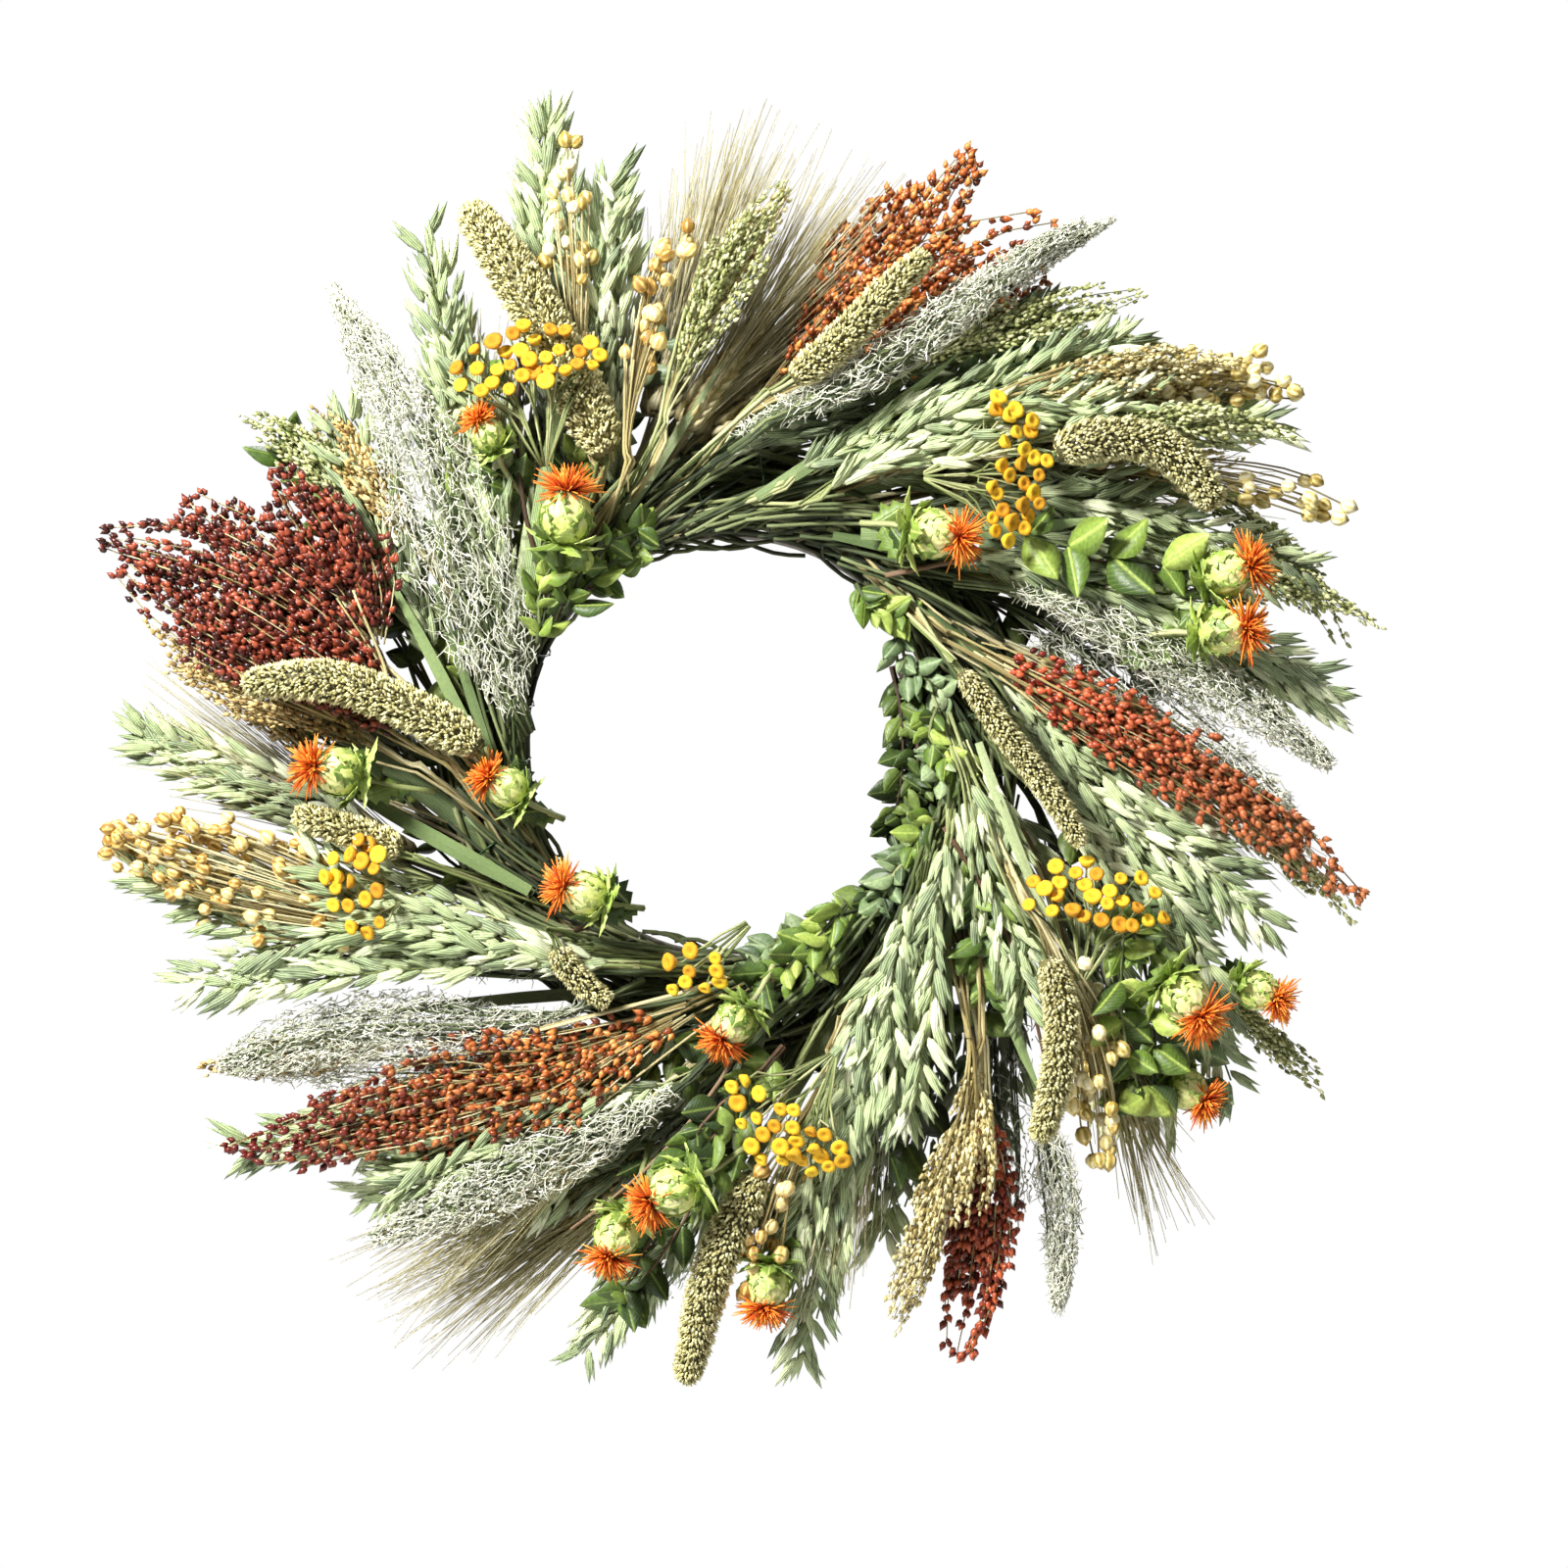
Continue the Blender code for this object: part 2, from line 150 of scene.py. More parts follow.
def solid_route(node, head):
    """The route of a sprig's plain solid, read ring by ring from its root."""
    solid = bmesh.new()
    solid.from_mesh(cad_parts[node].data)
    bmesh.ops.remove_doubles(solid, verts=solid.verts, dist=0.00001)
    root = min(solid.verts, key=lambda corner: reach_of(corner.co))
    ring = sorted(solid.verts, key=lambda corner: (corner.co - root.co).length)[:SPRIG_SIDES]
    rings = []
    seen = set(ring)
    while ring:
        rings.append(np.array([tuple(corner.co) for corner in ring]))
        near = {edge.other_vert(corner) for corner in ring for edge in corner.link_edges}
        ring = [corner for corner in near if corner not in seen]
        seen.update(ring)
    solid.free()
    points = np.array([corners.mean(axis=0) for corners in rings])
    depths = np.array([np.ptp(corners[:, 1]) / 2.0 for corners in rings])
    widths = np.array([np.linalg.norm((corners - middle)[:, (0, 2)], axis=1).max()
                       for corners, middle in zip(rings, points)])
    route = Route(points, widths, np.maximum(depths, 0.001), head)
    filling = np.clip((route.share - head) / 0.3, 0.0, 1.0) * (route.share < 0.6) * 0.9
    route.widths = np.maximum(widths, filling * widths.max())
    route.depths = np.maximum(route.depths, filling * depths.max())
    return route


def drawn_route(stops, depth, half_width, half_depth=8.0, head=0.25, blunt=0.3, stem=2.5):
    """A route through (clock, reach) stops at one depth, for a sprig with no solid of its own."""
    line = smooth(stops, 14)
    shares = np.linspace(0.0, 1.0, 14)
    rise = np.clip((shares - head) / 0.25, 0.0, 1.0)
    fall = np.clip((shares - 0.65) / 0.35, 0.0, 1.0)
    swell = np.sin(rise * math.pi / 2)
    taper = 1.0 - (1.0 - blunt) * fall ** 1.5
    closing = droop(line[:, 1])
    points = place(line[:, 0], line[:, 1], depth * closing)
    widths = (stem + (half_width - stem) * swell) * taper * closing * MM
    depths = (stem + (half_depth - stem) * swell) * taper * closing * MM
    return Route(points, widths, np.maximum(depths, 0.001), head)


# ---------------------------------------------------------------- shapes modelled once

def fresh():
    """Nothing selected, ready for a new primitive."""
    bpy.ops.object.select_all(action="DESELECT")


def turn_edit(on):
    """Into or out of edit mode on the newest object."""
    bpy.ops.object.mode_set(mode="EDIT" if on else "OBJECT")


def pick(kind, test):
    """In edit mode, select the corners, edges or faces whose middle passes the test."""
    mesh = bmesh.from_edit_mesh(bpy.context.object.data)
    bpy.context.tool_settings.mesh_select_mode = (kind == "corner", kind == "edge", kind == "face")
    for element in list(mesh.verts) + list(mesh.edges) + list(mesh.faces):
        element.select_set(False)
    chosen = {"corner": mesh.verts, "edge": mesh.edges, "face": mesh.faces}[kind]
    for element in chosen:
        if kind == "corner":
            middle = element.co
        elif kind == "edge":
            middle = (element.verts[0].co + element.verts[1].co) / 2.0
        else:
            middle = element.calc_center_median()
        if test(middle):
            element.select_set(True)
    mesh.select_flush_mode()
    bmesh.update_edit_mesh(bpy.context.object.data)


def resize(x, y, z):
    """Scale what is selected about its middle."""
    bpy.ops.transform.resize(value=(x, y, z))


def shift(x, y, z):
    """Move what is selected."""
    bpy.ops.transform.translate(value=(x, y, z))


class Shape:
    """A small shape modelled once: it takes the newest object's mesh and can be copied many times."""

    def __init__(self):
        made = bpy.context.object
        mesh = bmesh.new()
        mesh.from_mesh(made.data)
        bmesh.ops.remove_doubles(mesh, verts=mesh.verts, dist=0.00001)
        bmesh.ops.recalc_face_normals(mesh, faces=mesh.faces)
        mesh.verts.index_update()
        self.points = np.array([tuple(corner.co) for corner in mesh.verts])
        self.corners = np.array([corner.index for face in mesh.faces for corner in face.verts])
        self.sizes = np.array([len(face.verts) for face in mesh.faces])
        mesh.free()
        bpy.data.objects.remove(made, do_unlink=True)


def model_straw(sides, rings):
    """A straw one long along Z, with rings of corners, ready to be bent along a path."""
    fresh()
    bpy.ops.mesh.primitive_cylinder_add(vertices=sides, radius=1.0, depth=1.0, location=(0, 0, 0.5))
    bpy.ops.object.transform_apply(location=True, rotation=False, scale=False)
    turn_edit(True)
    pick("edge", lambda middle: 0.1 < middle.z < 0.9)
    if rings > 2:
        bpy.ops.mesh.subdivide(number_cuts=rings - 2)
    turn_edit(False)
    return Shape()


def start_ball(segments, rings):
    """A ball one across standing on the origin, open in edit mode."""
    fresh()
    bpy.ops.mesh.primitive_uv_sphere_add(segments=segments, ring_count=rings, radius=0.5,
                                         location=(0, 0, 0.5))
    bpy.ops.object.transform_apply(location=True, rotation=False, scale=False)
    turn_edit(True)


def model_ball(segments, rings, slim, tip):
    """A grain one long along Z: a ball made slimmer, with its tip drawn to a point."""
    start_ball(segments, rings)
    pick("corner", lambda middle: True)
    resize(slim, slim, 1.0)
    pick("corner", lambda middle: middle.z > 0.7)
    resize(1.0 - tip, 1.0 - tip, 1.0)
    pick("corner", lambda middle: middle.z > 0.97)
    shift(0.0, 0.0, tip * 0.3)
    turn_edit(False)
    return Shape()


def model_grit():
    """The smallest seed: two low pyramids base to base."""
    fresh()
    bpy.ops.mesh.primitive_cone_add(vertices=4, radius1=0.45, radius2=0.0, depth=0.75, end_fill_type="TRIFAN",
                                    location=(0, 0, 0.625))
    bpy.ops.object.transform_apply(location=True, rotation=False, scale=False)
    turn_edit(True)
    pick("corner", lambda middle: middle.z < 0.3 and math.hypot(middle.x, middle.y) < 0.1)
    shift(0.0, 0.0, -0.25)
    turn_edit(False)
    return Shape()


def model_husk():
    """An oat spikelet: a long boat-shaped husk with a narrower one opening beside it."""
    start_ball(5, 4)
    pick("corner", lambda middle: True)
    resize(0.34, 0.24, 1.0)
    pick("corner", lambda middle: middle.z > 0.6)
    resize(0.72, 0.72, 1.0)
    pick("corner", lambda middle: middle.z > 0.97)
    shift(0.0, 0.0, 0.16)
    turn_edit(False)
    husk = Shape()
    lean = math.radians(13.0)
    narrow = husk.points * np.array((0.62, 0.7, 0.9))
    opening = np.stack((narrow[:, 0] * math.cos(lean) + narrow[:, 2] * math.sin(lean),
                        narrow[:, 1] + 0.03,
                        narrow[:, 2] * math.cos(lean) - narrow[:, 0] * math.sin(lean)), axis=1)
    husk.corners = np.concatenate((husk.corners, husk.corners + len(husk.points)))
    husk.points = np.concatenate((husk.points, opening))
    husk.sizes = np.concatenate((husk.sizes, husk.sizes))
    return husk


def model_pod():
    """A flax pod: a ribbed globe with a short point and a collar of sepals at its foot."""
    start_ball(8, 5)
    sector = math.radians(45.0)
    pick("corner", lambda middle: 0.1 < middle.z < 0.95
         and round(math.atan2(middle.y, middle.x) / sector) % 2 == 0)
    resize(0.93, 0.93, 1.0)
    pick("corner", lambda middle: middle.z > 0.98)
    shift(0.0, 0.0, 0.16)
    pick("face", lambda middle: middle.z < 0.2 and math.hypot(middle.x, middle.y) > 0.2
         and round(math.atan2(middle.y, middle.x) / sector - 0.5) % 2 == 0)
    bpy.ops.mesh.extrude_faces_move(TRANSFORM_OT_shrink_fatten={"value": 0.1})
    shift(0.0, 0.0, -0.03)
    resize(1.08, 1.08, 1.0)
    turn_edit(False)
    return Shape()


def model_button():
    """A tansy button: a flat disc with a rolled rim and a dimple in its middle."""
    fresh()
    bpy.ops.mesh.primitive_cylinder_add(vertices=10, radius=0.5, depth=0.4, location=(0, 0, 0.3))
    bpy.ops.object.transform_apply(location=True, rotation=False, scale=False)
    turn_edit(True)
    pick("face", lambda middle: middle.z > 0.49)
    bpy.ops.mesh.inset(thickness=0.12)
    shift(0.0, 0.0, 0.1)
    bpy.ops.mesh.inset(thickness=0.16)
    shift(0.0, 0.0, -0.05)
    bpy.ops.mesh.inset(thickness=0.08)
    shift(0.0, 0.0, -0.07)
    pick("face", lambda middle: middle.z < 0.11)
    resize(0.55, 0.55, 1.0)
    turn_edit(False)
    return Shape()


def model_leaf(serration):
    """A leaf one long along Z, cupped along its midrib, its edge drawn into points by the serration."""
    fresh()
    bpy.ops.mesh.primitive_grid_add(x_subdivisions=2, y_subdivisions=7, size=1.0, location=(0, 0, 0))
    turn_edit(True)
    mesh = bmesh.from_edit_mesh(bpy.context.object.data)
    for corner in mesh.verts:
        across = corner.co.x * 2.0
        along = corner.co.y + 0.5
        row = round(along * 7)
        swell = math.sin(math.pi * min(along * 0.96 + 0.04, 1.0) ** 0.85)
        spike = 1.0 + serration * (1.0 if row % 2 else -0.6) * abs(across) ** 3
        cup = 0.09 * abs(across) ** 1.3 * swell - 0.10 * along * along
        corner.co = (across * 0.27 * (swell * spike + 0.015), -cup, along)
    bmesh.update_edit_mesh(bpy.context.object.data)
    turn_edit(False)
    wall = bpy.context.object.modifiers.new("wall", "SOLIDIFY")
    wall.thickness = 0.018
    wall.offset = 0.0
    bpy.ops.object.modifier_apply(modifier="wall")
    return Shape()


def model_bud():
    """A safflower bud: a globe narrowed to its mouth, ribbed by its closed bracts."""
    start_ball(20, 12)
    pick("corner", lambda middle: middle.z > 0.8)
    resize(0.8, 0.8, 1.0)
    shift(0.0, 0.0, 0.08)
    sector = math.radians(18.0)
    pick("corner", lambda middle: 0.12 < middle.z < 0.86
         and round(math.atan2(middle.y, middle.x) / sector) % 2 == 0)
    resize(0.95, 0.95, 1.0)
    pick("face", lambda middle: middle.z > 1.02)
    bpy.ops.mesh.inset(thickness=0.03)
    shift(0.0, 0.0, -0.1)
    turn_edit(False)
    return Shape()


STRAW_6 = model_straw(4, 6)
STRAW_10 = model_straw(5, 10)
AWN = model_straw(3, 4)
CORE = model_straw(8, 8)
GRAIN = model_ball(5, 4, 0.74, 0.4)
KERNEL = model_ball(5, 4, 0.42, 0.45)
BEAD = model_ball(4, 3, 0.95, 0.3)
GRIT = model_grit()
HUSK = model_husk()
POD = model_pod()
BUTTON = model_button()
LEAF = model_leaf(0.0)
BRACT = model_leaf(0.5)
BUD = model_bud()


# ---------------------------------------------------------------- piles of copies

class Pile:
    """Copies of the small shapes gathered into one piece, each with its tone and ripeness."""

    def __init__(self, name):
        self.name = name
        seed = sum(ord(letter) * (index + 7) for index, letter in enumerate(name))
        self.rng = np.random.default_rng(seed)
        self.points = []
        self.local = []
        self.tone = []
        self.ripe = []
        self.corners = []
        self.sizes = []
        self.skins = []
        self.count = 0

    def keep(self, shape, points, skin, tones, ripes):
        """Store copies whose corners are (copies, corners, 3)."""
        copies, corners = points.shape[:2]
        if copies == 0:
            return
        self.points.append(points.reshape(-1, 3))
        self.local.append(np.tile(shape.points, (copies, 1)))
        self.tone.append(np.repeat(np.broadcast_to(tones, copies), corners))
        self.ripe.append(np.repeat(np.broadcast_to(ripes, copies), corners))
        starts = self.count + corners * np.arange(copies)
        self.corners.append((shape.corners[None, :] + starts[:, None]).reshape(-1))
        self.sizes.append(np.tile(shape.sizes, copies))
        self.skins.append(np.full(len(shape.sizes) * copies, skin))
        self.count += copies * corners

    def scatter(self, shape, places, headings, sizes, skin=0, spin=None, facing=VIEWER, tones=None,
                ripes=0.5):
        """Copies at places, standing along headings, with sizes (length) or (x, y, z) for each."""
        copies = len(places)
        headings = unit(headings)
        side = unit(np.cross(np.broadcast_to(facing, headings.shape), headings) + 1e-7)
        front = np.cross(headings, side)
        turn = self.rng.uniform(0, 2 * math.pi, copies) if spin is None else np.broadcast_to(spin, copies)
        cosine = np.cos(turn)[:, None]
        sine = np.sin(turn)[:, None]
        axes = np.stack((side * cosine + front * sine, front * cosine - side * sine, headings), axis=2)
        sizes = np.asarray(sizes, float)
        if sizes.ndim < 2:
            sizes = np.broadcast_to(sizes, copies)[:, None] * np.ones(3)
        points = np.einsum("vj,kj,kij->kvi", shape.points, sizes, axes) + places[:, None, :]
        tones = self.rng.uniform(0, 1, copies) if tones is None else tones
        self.keep(shape, points, skin, tones, ripes)

    def bend(self, shape, paths, widths, thicks=None, skin=0, facing=VIEWER, tones=None, ripes=0.5):
        """Copies of a straw bent along paths (copies, rings, 3), widths and thicknesses (copies, rings)."""
        paths = np.asarray(paths, float)
        if len(paths) == 0:
            return
        rings = paths.shape[1]
        heading = unit(np.gradient(paths, axis=1))
        side = unit(np.cross(np.broadcast_to(facing, heading.shape), heading) + 1e-7)
        front = np.cross(heading, side)
        widths = np.broadcast_to(widths, paths.shape[:2])
        thicks = widths if thicks is None else np.broadcast_to(thicks, paths.shape[:2])
        ring = np.rint(shape.points[:, 2] * (rings - 1)).astype(int)
        points = paths[:, ring]
        points = points + side[:, ring] * (shape.points[:, 0] * widths[:, ring])[..., None]
        points = points + front[:, ring] * (shape.points[:, 1] * thicks[:, ring])[..., None]
        tones = self.rng.uniform(0, 1, len(paths)) if tones is None else tones
        self.keep(shape, points, skin, tones, ripes)

    def finish(self, skins, slot, *nodes, smooth_faces=True):
        """Make the piece, with its materials and its ride on the wreath, and hide the solids it stands for.
        """
        mesh = bpy.data.meshes.new(self.name)
        sizes = np.concatenate(self.sizes)
        corners = np.concatenate(self.corners)
        mesh.vertices.add(self.count)
        mesh.vertices.foreach_set("co", np.concatenate(self.points).astype(np.float32).ravel())
        mesh.loops.add(len(corners))
        mesh.loops.foreach_set("vertex_index", corners.astype(np.int32))
        mesh.polygons.add(len(sizes))
        mesh.polygons.foreach_set("loop_start", (np.cumsum(sizes) - sizes).astype(np.int32))
        mesh.polygons.foreach_set("loop_total", sizes.astype(np.int32))
        mesh.polygons.foreach_set("material_index", np.concatenate(self.skins).astype(np.int32))
        mesh.polygons.foreach_set("use_smooth", np.full(len(sizes), smooth_faces))
        for name, kind, field, values in (("local", "FLOAT_VECTOR", "vector", self.local),
                                          ("tone", "FLOAT", "value", self.tone),
                                          ("ripe", "FLOAT", "value", self.ripe)):
            layer = mesh.attributes.new(name, kind, "POINT")
            layer.data.foreach_set(field, np.concatenate(values).astype(np.float32).ravel())
        mesh.update(calc_edges=True)
        mesh.validate()
        for skin in skins:
            mesh.materials.append(skin)
        made = bpy.data.objects.new(self.name, mesh)
        bpy.context.scene.collection.objects.link(made)
        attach(made, "wreath")
        if nodes:
            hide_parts(*nodes)
        return made


# ---------------------------------------------------------------- materials

def paint(red, green, blue):
    """A display colour, 0 to 255, as linear light."""
    levels = []
    for level in (red, green, blue):
        share = level / 255.0
        levels.append(share / 12.92 if share <= 0.04045 else ((share + 0.055) / 1.055) ** 2.4)
    return (*levels, 1.0)


class Value:
    """A number socket of a skin, so that shader maths reads as an expression."""

    def __init__(self, skin, socket):
        self.skin = skin
        self.socket = socket

    def maths(self, operation, *others):
        """One step of arithmetic with this number first."""
        made = self.skin.node("ShaderNodeMath", {"operation": operation}, (self, *others))
        return Value(self.skin, made.outputs[0])

    def __add__(self, other):
        return self.maths("ADD", other)

    def __sub__(self, other):
        return self.maths("SUBTRACT", other)

    def __mul__(self, other):
        return self.maths("MULTIPLY", other)

    def __rsub__(self, other):
        return (self * -1.0) + other

    __radd__ = __add__
    __rmul__ = __mul__

    def power(self, exponent):
        """The number raised to an exponent."""
        return self.maths("POWER", exponent)

    def sine(self):
        """The sine of the number in radians."""
        return self.maths("SINE")

    def size(self):
        """The number without its sign."""
        return self.maths("ABSOLUTE")

    def clamp(self):
        """The number kept between nought and one."""
        return Value(self.skin, self.skin.node("ShaderNodeClamp", {}, [self]).outputs[0])


# Painted shade: plants are painted dark in the thick of the wreath, where shade falls, and light towards its
# front, its back and its tips
DEPTH_SHADE = 14.5      # light gained per metre towards the front
DEEPEST_SHADE = 0.07    # light at no depth
REAR_SHADE = 45.0       # light lost per metre from the back
FRINGE_SHADE = 10.0     # light gained per metre of reach
FRINGE_START = 1.8      # light taken off, so that the gain starts well outside the rope
SHADE_POWER = 2.0


class Skin:
    """A material for plants and wires, its colours worked out from each copy's tone and shape, with painted
    shade by depth in the wreath.
    """

    def __init__(self, name, roughness, **fixed):
        self.material = bpy.data.materials.new(name)
        self.material.use_nodes = True
        self.tree = self.material.node_tree
        self.shader = self.tree.nodes["Principled BSDF"]
        self.shader.inputs["Roughness"].default_value = roughness
        for socket, value in fixed.items():
            self.shader.inputs[socket.replace("_", " ")].default_value = value
        self.x, self.y, self.z = self.split(self.attribute("local", "Vector"))
        self.tone = Value(self, self.attribute("tone", "Fac"))
        self.ripe = Value(self, self.attribute("ripe", "Fac"))
        self.place = self.node("ShaderNodeTexCoord", {}, []).outputs["Object"]

    def attribute(self, name, output):
        """The output of one attribute that every copy carries."""
        return self.node("ShaderNodeAttribute", {"attribute_name": name}, []).outputs[output]

    def split(self, vector):
        """The three numbers of a vector."""
        made = self.node("ShaderNodeSeparateXYZ", {}, [vector])
        return [Value(self, made.outputs[axis]) for axis in range(3)]

    def node(self, kind, settings, inputs):
        """A node of a kind, its settings made first, then its sockets linked or set in order."""
        made = self.tree.nodes.new(kind)
        for name, value in settings.items():
            if name == "stops":
                self.set_stops(made.color_ramp, value)
            else:
                setattr(made, name, value)
        targets = inputs.items() if isinstance(inputs, dict) else enumerate(inputs)
        for target, value in targets:
            if isinstance(value, Value):
                value = value.socket
            if isinstance(value, bpy.types.NodeSocket):
                self.tree.links.new(value, made.inputs[target])
            else:
                made.inputs[target].default_value = value
        return made

    @staticmethod
    def set_stops(ramp, stops):
        """Colour stops of a ramp."""
        while len(ramp.elements) < len(stops):
            ramp.elements.new(0.5)
        for element, (position, colour) in zip(ramp.elements, stops):
            element.position = position
            element.color = colour

    def noise(self, scale, detail=2.0):
        """Noise over the piece, with features 1/scale metres wide."""
        made = self.node("ShaderNodeTexNoise", {}, {"Vector": self.place, "Scale": scale, "Detail": detail})
        return Value(self, made.outputs["Fac"])

    def ramp(self, value, *stops):
        """A colour for a number."""
        return self.node("ShaderNodeValToRGB", {"stops": stops}, [value]).outputs["Color"]

    def mix(self, factor, first, second, blend="MIX"):
        """Two colours mixed."""
        made = self.node("ShaderNodeMix", {"data_type": "RGBA", "blend_type": blend},
                         {"Factor": factor, 6: first, 7: second})
        return made.outputs[2]

    def shade(self, colour, value):
        """A colour made darker or lighter by a number near one."""
        grey = self.node("ShaderNodeCombineColor", {}, [value, value, value]).outputs[0]
        return self.mix(1.0, colour, grey, "MULTIPLY")

    def finish(self, colour, roughness=None, height=None, strength=0.4, distance=0.0004):
        """Wire up colour, roughness and bump, and give the material. Plants are painted darker deep in the
        middle, as shade.
        """
        across, depth, up = self.split(self.place)
        across = across - RING_MIDDLE.x
        up = up - RING_MIDDLE.z
        fringe = ((across * across + up * up).power(0.5) * FRINGE_SHADE - FRINGE_START).clamp()
        rear = (depth * REAR_SHADE + 1.0).clamp()
        # Painted shade: the colour is darkened in the thick of the wreath and lightened towards its front,
        # back and tips
        light = (depth * -DEPTH_SHADE + DEEPEST_SHADE + fringe + rear).clamp()
        colour = self.shade(colour, light.power(SHADE_POWER))
        self.tree.links.new(colour, self.shader.inputs["Base Color"])
        if roughness is not None:
            self.tree.links.new(roughness.socket, self.shader.inputs["Roughness"])
        if height is not None:
            bump = self.node("ShaderNodeBump", {}, {"Height": height, "Strength": strength,
                                                    "Distance": distance})
            self.tree.links.new(bump.outputs["Normal"], self.shader.inputs["Normal"])
        return self.material


def husk_skin():
    """Papery sage-green oat husks, pale at the base and edges, finely striped."""
    skin = Skin("oat_husk", 0.55, Sheen_Weight=0.15)
    stripes = (skin.x * 95.0).sine() * 0.5 + 0.5
    body = skin.ramp(skin.tone, (0.0, paint(72, 94, 48)), (0.4, paint(134, 154, 94)),
                     (0.75, paint(184, 198, 140)), (1.0, paint(230, 234, 196)))
    pale = skin.mix(stripes * 0.35, body, paint(220, 228, 190))
    foot = (1.0 - skin.z * 3.0).clamp() * 0.35
    dry = skin.mix((skin.ripe - 0.6).clamp() * 1.6, skin.mix(foot, pale, paint(214, 214, 168)),
                   paint(216, 202, 150))
    colour = skin.shade(dry, stripes * 0.3 + skin.noise(160.0) * 1.2 + 0.25)
    return skin.finish(colour, skin.noise(900.0) * 0.3 + 0.4, stripes + skin.noise(2200.0), 0.7, 0.0003)


def straw_skin(name, dark, middle, light):
    """Dried stems and blades: long fine grooves and a slow change of colour along them."""
    skin = Skin(name, 0.6)
    fibre = skin.noise(70.0, 3.0)
    grooves = (skin.x * 26.0).sine() * 0.5 + 0.5
    body = skin.ramp(skin.tone * 0.75 + fibre * 0.25, (0.1, dark), (0.5, middle), (0.9, light))
    colour = skin.shade(body, grooves * 0.25 + skin.noise(900.0) * 0.5 + 0.62)
    return skin.finish(colour, skin.noise(500.0) * 0.3 + 0.45, grooves, 0.5, 0.0003)


def bead_skin(name, dark, middle, light, roughness=0.6):
    """Small dry seeds, each a little different, dark at the foot and pale at the tip."""
    skin = Skin(name, roughness)
    body = skin.ramp(skin.tone, (0.0, dark), (0.4, middle), (0.85, light))
    foot = (1.0 - skin.z * 2.2).clamp() * 0.75
    colour = skin.shade(skin.mix(foot, body, dark), skin.noise(120.0) * 0.6 + 0.7)
    return skin.finish(colour, skin.noise(1500.0) * 0.3 + roughness - 0.15, skin.noise(2600.0), 0.35, 0.0002)


def grain_skin(name, dark, middle, light, tip):
    """Smooth sorghum grains with a dull dark husk at the foot, turning to the tip colour when ripe."""
    skin = Skin(name, 0.35, Coat_Roughness=0.3)
    body = skin.ramp(skin.tone, (0.0, dark), (0.45, middle), (0.9, light))
    ripened = skin.mix((skin.ripe * 1.5 - 0.5).clamp(), body, tip)
    mottled = skin.mix((skin.noise(700.0) * 2.2 - 0.9).clamp() * 0.5, ripened, dark)
    foot = (1.0 - skin.z * 2.6).clamp()
    colour = skin.mix(foot * 0.8, mottled, dark)
    return skin.finish(colour, foot * 0.3 + skin.noise(600.0) * 0.25 + 0.2, skin.noise(1500.0), 0.25, 0.0002)


def plume_skin():
    """White felted leaflets with grey-green hollows."""
    skin = Skin("artemisia_felt", 0.9, Sheen_Weight=0.4)
    body = skin.ramp(skin.tone, (0.0, paint(142, 150, 116)), (0.3, paint(200, 202, 174)),
                     (0.6, paint(236, 234, 212)), (1.0, paint(252, 250, 234)))
    colour = skin.shade(body, skin.noise(180.0) * 0.5 + 0.78)
    return skin.finish(colour, skin.noise(800.0) * 0.2 + 0.78, skin.noise(3500.0), 0.6, 0.0002)


def pod_skin(name, dark, middle, light):
    """Papery flax pods with darker seams and point."""
    skin = Skin(name, 0.45)
    seams = (skin.x * 14.0).sine() * (skin.y * 14.0).sine()
    body = skin.ramp(skin.tone * 0.7 + seams * 0.3, (0.0, dark), (0.35, middle), (0.8, light))
    ends = (skin.z * 5.0 - 4.2).clamp() + (1.0 - skin.z * 6.0).clamp()
    colour = skin.shade(skin.mix(ends.clamp() * 0.7, body, dark), skin.noise(500.0) * 0.4 + 0.8)
    return skin.finish(colour, skin.noise(900.0) * 0.3 + 0.3, seams + skin.noise(1200.0), 0.4, 0.0003)


def button_skin():
    """Tansy buttons: bright pitted yellow, painted amber in the dimple and down the rim's side as shade."""
    skin = Skin("tansy_button", 0.75)
    reach = (skin.x * skin.x + skin.y * skin.y).power(0.5)
    body = skin.ramp(skin.tone, (0.0, paint(196, 134, 10)), (0.4, paint(230, 170, 16)),
                     (0.9, paint(250, 206, 40)))
    # Painted shade: darker amber in the dimple and down the rim's side
    dimple = (1.0 - reach * 6.0).clamp() * 0.5
    rim = (reach * 5.0 - 1.9).clamp() * (1.0 - skin.z).clamp() * 1.2
    shaded_dimple_and_rim = skin.mix((dimple + rim).clamp(), body, paint(150, 92, 10))
    colour = skin.shade(shaded_dimple_and_rim, skin.noise(1800.0) * 0.7 + 0.65)
    return skin.finish(colour, skin.noise(2500.0) * 0.2 + 0.65, skin.noise(3200.0), 0.9, 0.0004)


def leaf_skin(name, dark, middle, light):
    """Preserved leaves with a pale midrib, side veins and soft patches."""
    skin = Skin(name, 0.45, Sheen_Weight=0.05)
    rib = (1.0 - skin.x.size() * 26.0).clamp()
    veins = ((skin.z * 62.0 + skin.x.size() * 60.0).sine() - 0.72).clamp() * 1.6
    body = skin.ramp(skin.tone * 0.7 + skin.noise(90.0) * 0.3, (0.15, dark), (0.5, middle), (0.85, light))
    veined = skin.mix((rib * 0.8 + veins * 0.35).clamp(), body, light)
    colour = skin.shade(veined, skin.noise(620.0) * 1.1 + 0.42)
    relief = rib * -1.0 - veins * 0.5 + skin.noise(700.0) * 0.6
    return skin.finish(colour, skin.noise(600.0) * 0.3 + 0.32, relief, 0.5, 0.0004)


